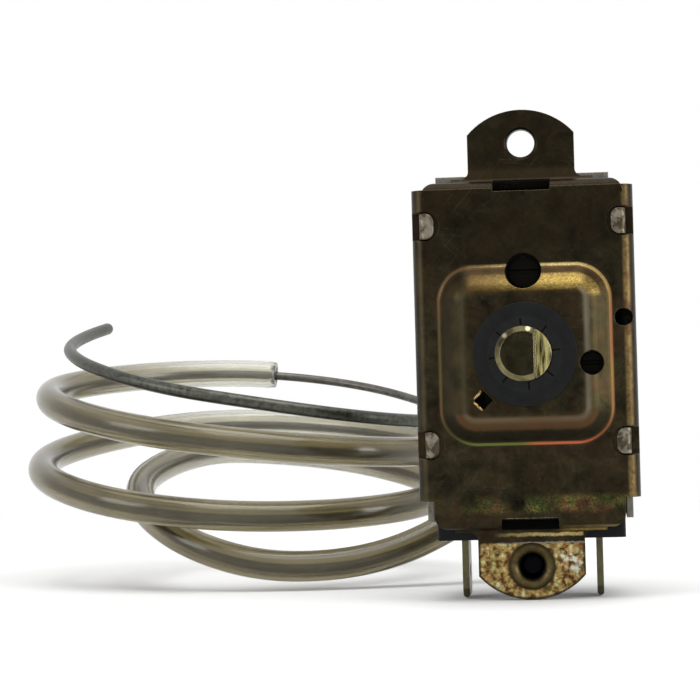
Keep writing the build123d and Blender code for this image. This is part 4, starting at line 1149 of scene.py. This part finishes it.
# %% [markdown]
# The plastics. The washer is a black punched sheet with a soft sheen, the switch base is
# moulded phenolic with a faint flow pattern, and the cam and the lever's tip are white nylon.
# Black plastic in soft light is easily made too grey, so its gloss is held low.

# %% Plastics
def plastic(name, dark, light, edge_tone, rough, gloss):
    """Moulded or punched plastic with a faint mottle and a matt skin."""
    material, tree, shader = new_material(name)
    mottle = use(tree, mottle_group, Patch_Size_mm=2.0, Grain_Size_mm=0.15)
    edges = use(tree, edge_group)
    body = blend(tree, mottle["Patches"], dark, light)
    feed(tree, laid_over(tree, body, ((edges["Edges"], 0.6), edge_tone)), shader.inputs["Base Color"])
    feed(tree, remap(tree, mottle["Patches"], 0.0, 1.0, *rough), shader.inputs["Roughness"])
    set_plain(shader, Specular_IOR_Level=gloss)
    roughen(tree, shader, mottle["Grain"], 0.3, 0.01, edges["Normal"])
    return material


washer_black = plastic(
    "washer_black", (0.0045, 0.0048, 0.0048), (0.0095, 0.0102, 0.0105), (0.02, 0.021, 0.021),
    rough=(0.38, 0.5), gloss=0.12,
)
phenolic = plastic(
    "black_phenolic", (0.003, 0.0033, 0.0040), (0.0075, 0.0082, 0.0100), (0.018, 0.019, 0.022),
    rough=(0.35, 0.5), gloss=0.12,
)
nylon = plastic(
    "white_nylon", (0.62, 0.60, 0.54), (0.72, 0.70, 0.64), (0.72, 0.70, 0.64),
    rough=(0.35, 0.5), gloss=0.45,
)
print("plastics ready")

# %% [markdown]
# The sleeve's vinyl is clear but has yellowed to olive grey, and turns milky towards the end
# that was cut. Glass alone would vanish against the white floor. So the shader passes most of
# the light, the rest is body colour, and a mask by distance from the cut makes the end pale.
# Light crosses four surfaces on its way through the tube, so the bore's own faces are clearer:
# with one tint on all four, the wire inside couldn't be seen.

# %% Vinyl
vinyl, tree, shader = new_material("olive_vinyl")
mottle = use(tree, mottle_group, Patch_Size_mm=9.0, Grain_Size_mm=0.4)
from_cut = node(tree, "ShaderNodeVectorMath", operation="DISTANCE")
tree.links.new(object_place(tree), from_cut.inputs[0])
from_cut.inputs[1].default_value = sleeve_line[-1]
milky = remap(tree, from_cut.outputs["Value"], 0.036, 0.004, smooth=True)
body = blend(tree, mottle["Patches"], (0.205, 0.172, 0.092), (0.325, 0.285, 0.175))
feed(tree, blend(tree, milky, body, (0.74, 0.735, 0.66)), shader.inputs["Base Color"])
set_plain(shader, Transmission_Weight=0.88, IOR=1.45)
feed(tree, remap(tree, mottle["Patches"], 0.0, 1.0, 0.12, 0.22), shader.inputs["Roughness"])
roughen(tree, shader, mottle["Grain"], 0.15, 0.02)

clear_bore, tree, shader = new_material("clear_bore")
mottle = use(tree, mottle_group, Patch_Size_mm=6.0, Grain_Size_mm=0.4)
haze = blend(tree, mottle["Patches"], (0.60, 0.56, 0.42), (0.80, 0.77, 0.63))
feed(tree, haze, shader.inputs["Base Color"])
set_plain(shader, Transmission_Weight=0.96, IOR=1.45)
feed(tree, remap(tree, mottle["Patches"], 0.0, 1.0, 0.06, 0.14), shader.inputs["Roughness"])
print("vinyl ready")

# %% [markdown]
# The bush is the same chromated steel as the ear: worn olive gold on its flange, with a darker
# outer ring of painted shade in the flare, and painted black shade down the thread. Depth parts
# the two. The lanced rim is bare where the punch has torn the film, so it is the brightest gold
# on the cover.

# %% Bush and rim finishes
bush_metal, tree, shader = new_material("shaded_bush")
mottle = use(tree, mottle_group, Patch_Size_mm=0.9, Grain_Size_mm=0.18)
place = own_place(tree)
flare_ring_shade = remap(tree, from_axis(tree, place, *ear_hole), 2.25, 2.62, smooth=True)
# Painted shade: a darker outer ring in the flare and black down the thread.
colour = laid_over(
    tree, blend(tree, mottle["Patches"], (0.040, 0.030, 0.012), (0.115, 0.085, 0.034)),
    ((flare_ring_shade, 0.75), (0.024, 0.019, 0.010)),
    (remap(tree, place["Y"], -0.72, -0.34, smooth=True), (0.0022, 0.0024, 0.0034)),
)
feed(tree, colour, shader.inputs["Base Color"])
set_plain(shader, Metallic=0.9, Specular_IOR_Level=0.15)
feed(tree, remap(tree, mottle["Grain"], 0.0, 1.0, 0.28, 0.42), shader.inputs["Roughness"])
roughen(tree, shader, mottle["Patches"], 0.25, 0.02)
torn_gold = worn_metal(
    "torn_gold", (0.16, 0.085, 0.028), (0.50, 0.33, 0.13), (0.70, 0.56, 0.30),
    rough=(0.22, 0.36), patch=0.5, grain=0.12,
)
print("bush and rim ready")

# %% [markdown]
# Last, every piece puts its finish on. A table from finish to pieces shows at a glance what is
# made of what, and a piece that was forgotten shows in the count.

# %% Dress the pieces
finishes = {
    chromate: ["front_cover"],
    zinc: ["inner_frame", "rocker_pin", "lever_pin", "capsule_front", "capsule_back"],
    shaded_zinc: ["cam_rocker", "main_lever"],
    shaft_brass: ["drive_shaft"],
    washer_black: ["shaft_washer"],
    phenolic: ["switch_base"],
    nylon: ["face_cam", "insulating_tip"],
    terminal_brass: ["left_terminal", "right_terminal", "spring_nut", "pressure_pad", "blade_rivet"],
    shaded_brass: ["range_screw", "differential_screw"],
    spring_steel: ["range_spring"],
    copper: ["diaphragm", "capillary_ferrule", "switch_blade"],
    silver: ["moving_contact", "fixed_contact"],
    wire_grey: ["capillary_tube", "vinyl_sleeve"],
    tube_grey: ["sensing_bulb"],
}
dressed = 0
for material, names in finishes.items():
    for name in names:
        slots = nodes[name].data.materials
        slots.clear()
        slots.append(material)
        dressed += 1
own_finishes = [
    (sleeve, vinyl), (sleeve, clear_bore), (capillary, wire_grey), (bulb, tube_grey),
    (bush, bush_metal), (lanced_rim, torn_gold),
]
for piece, material in own_finishes:
    piece.data.materials.append(material)
print("dressed", dressed, "of", len(nodes))

# %% [markdown]
# The dressed control has to be as large as the CAD model: tubing that has slipped off its route
# would make it larger.

# %% Finish
bpy.context.view_layer.update()
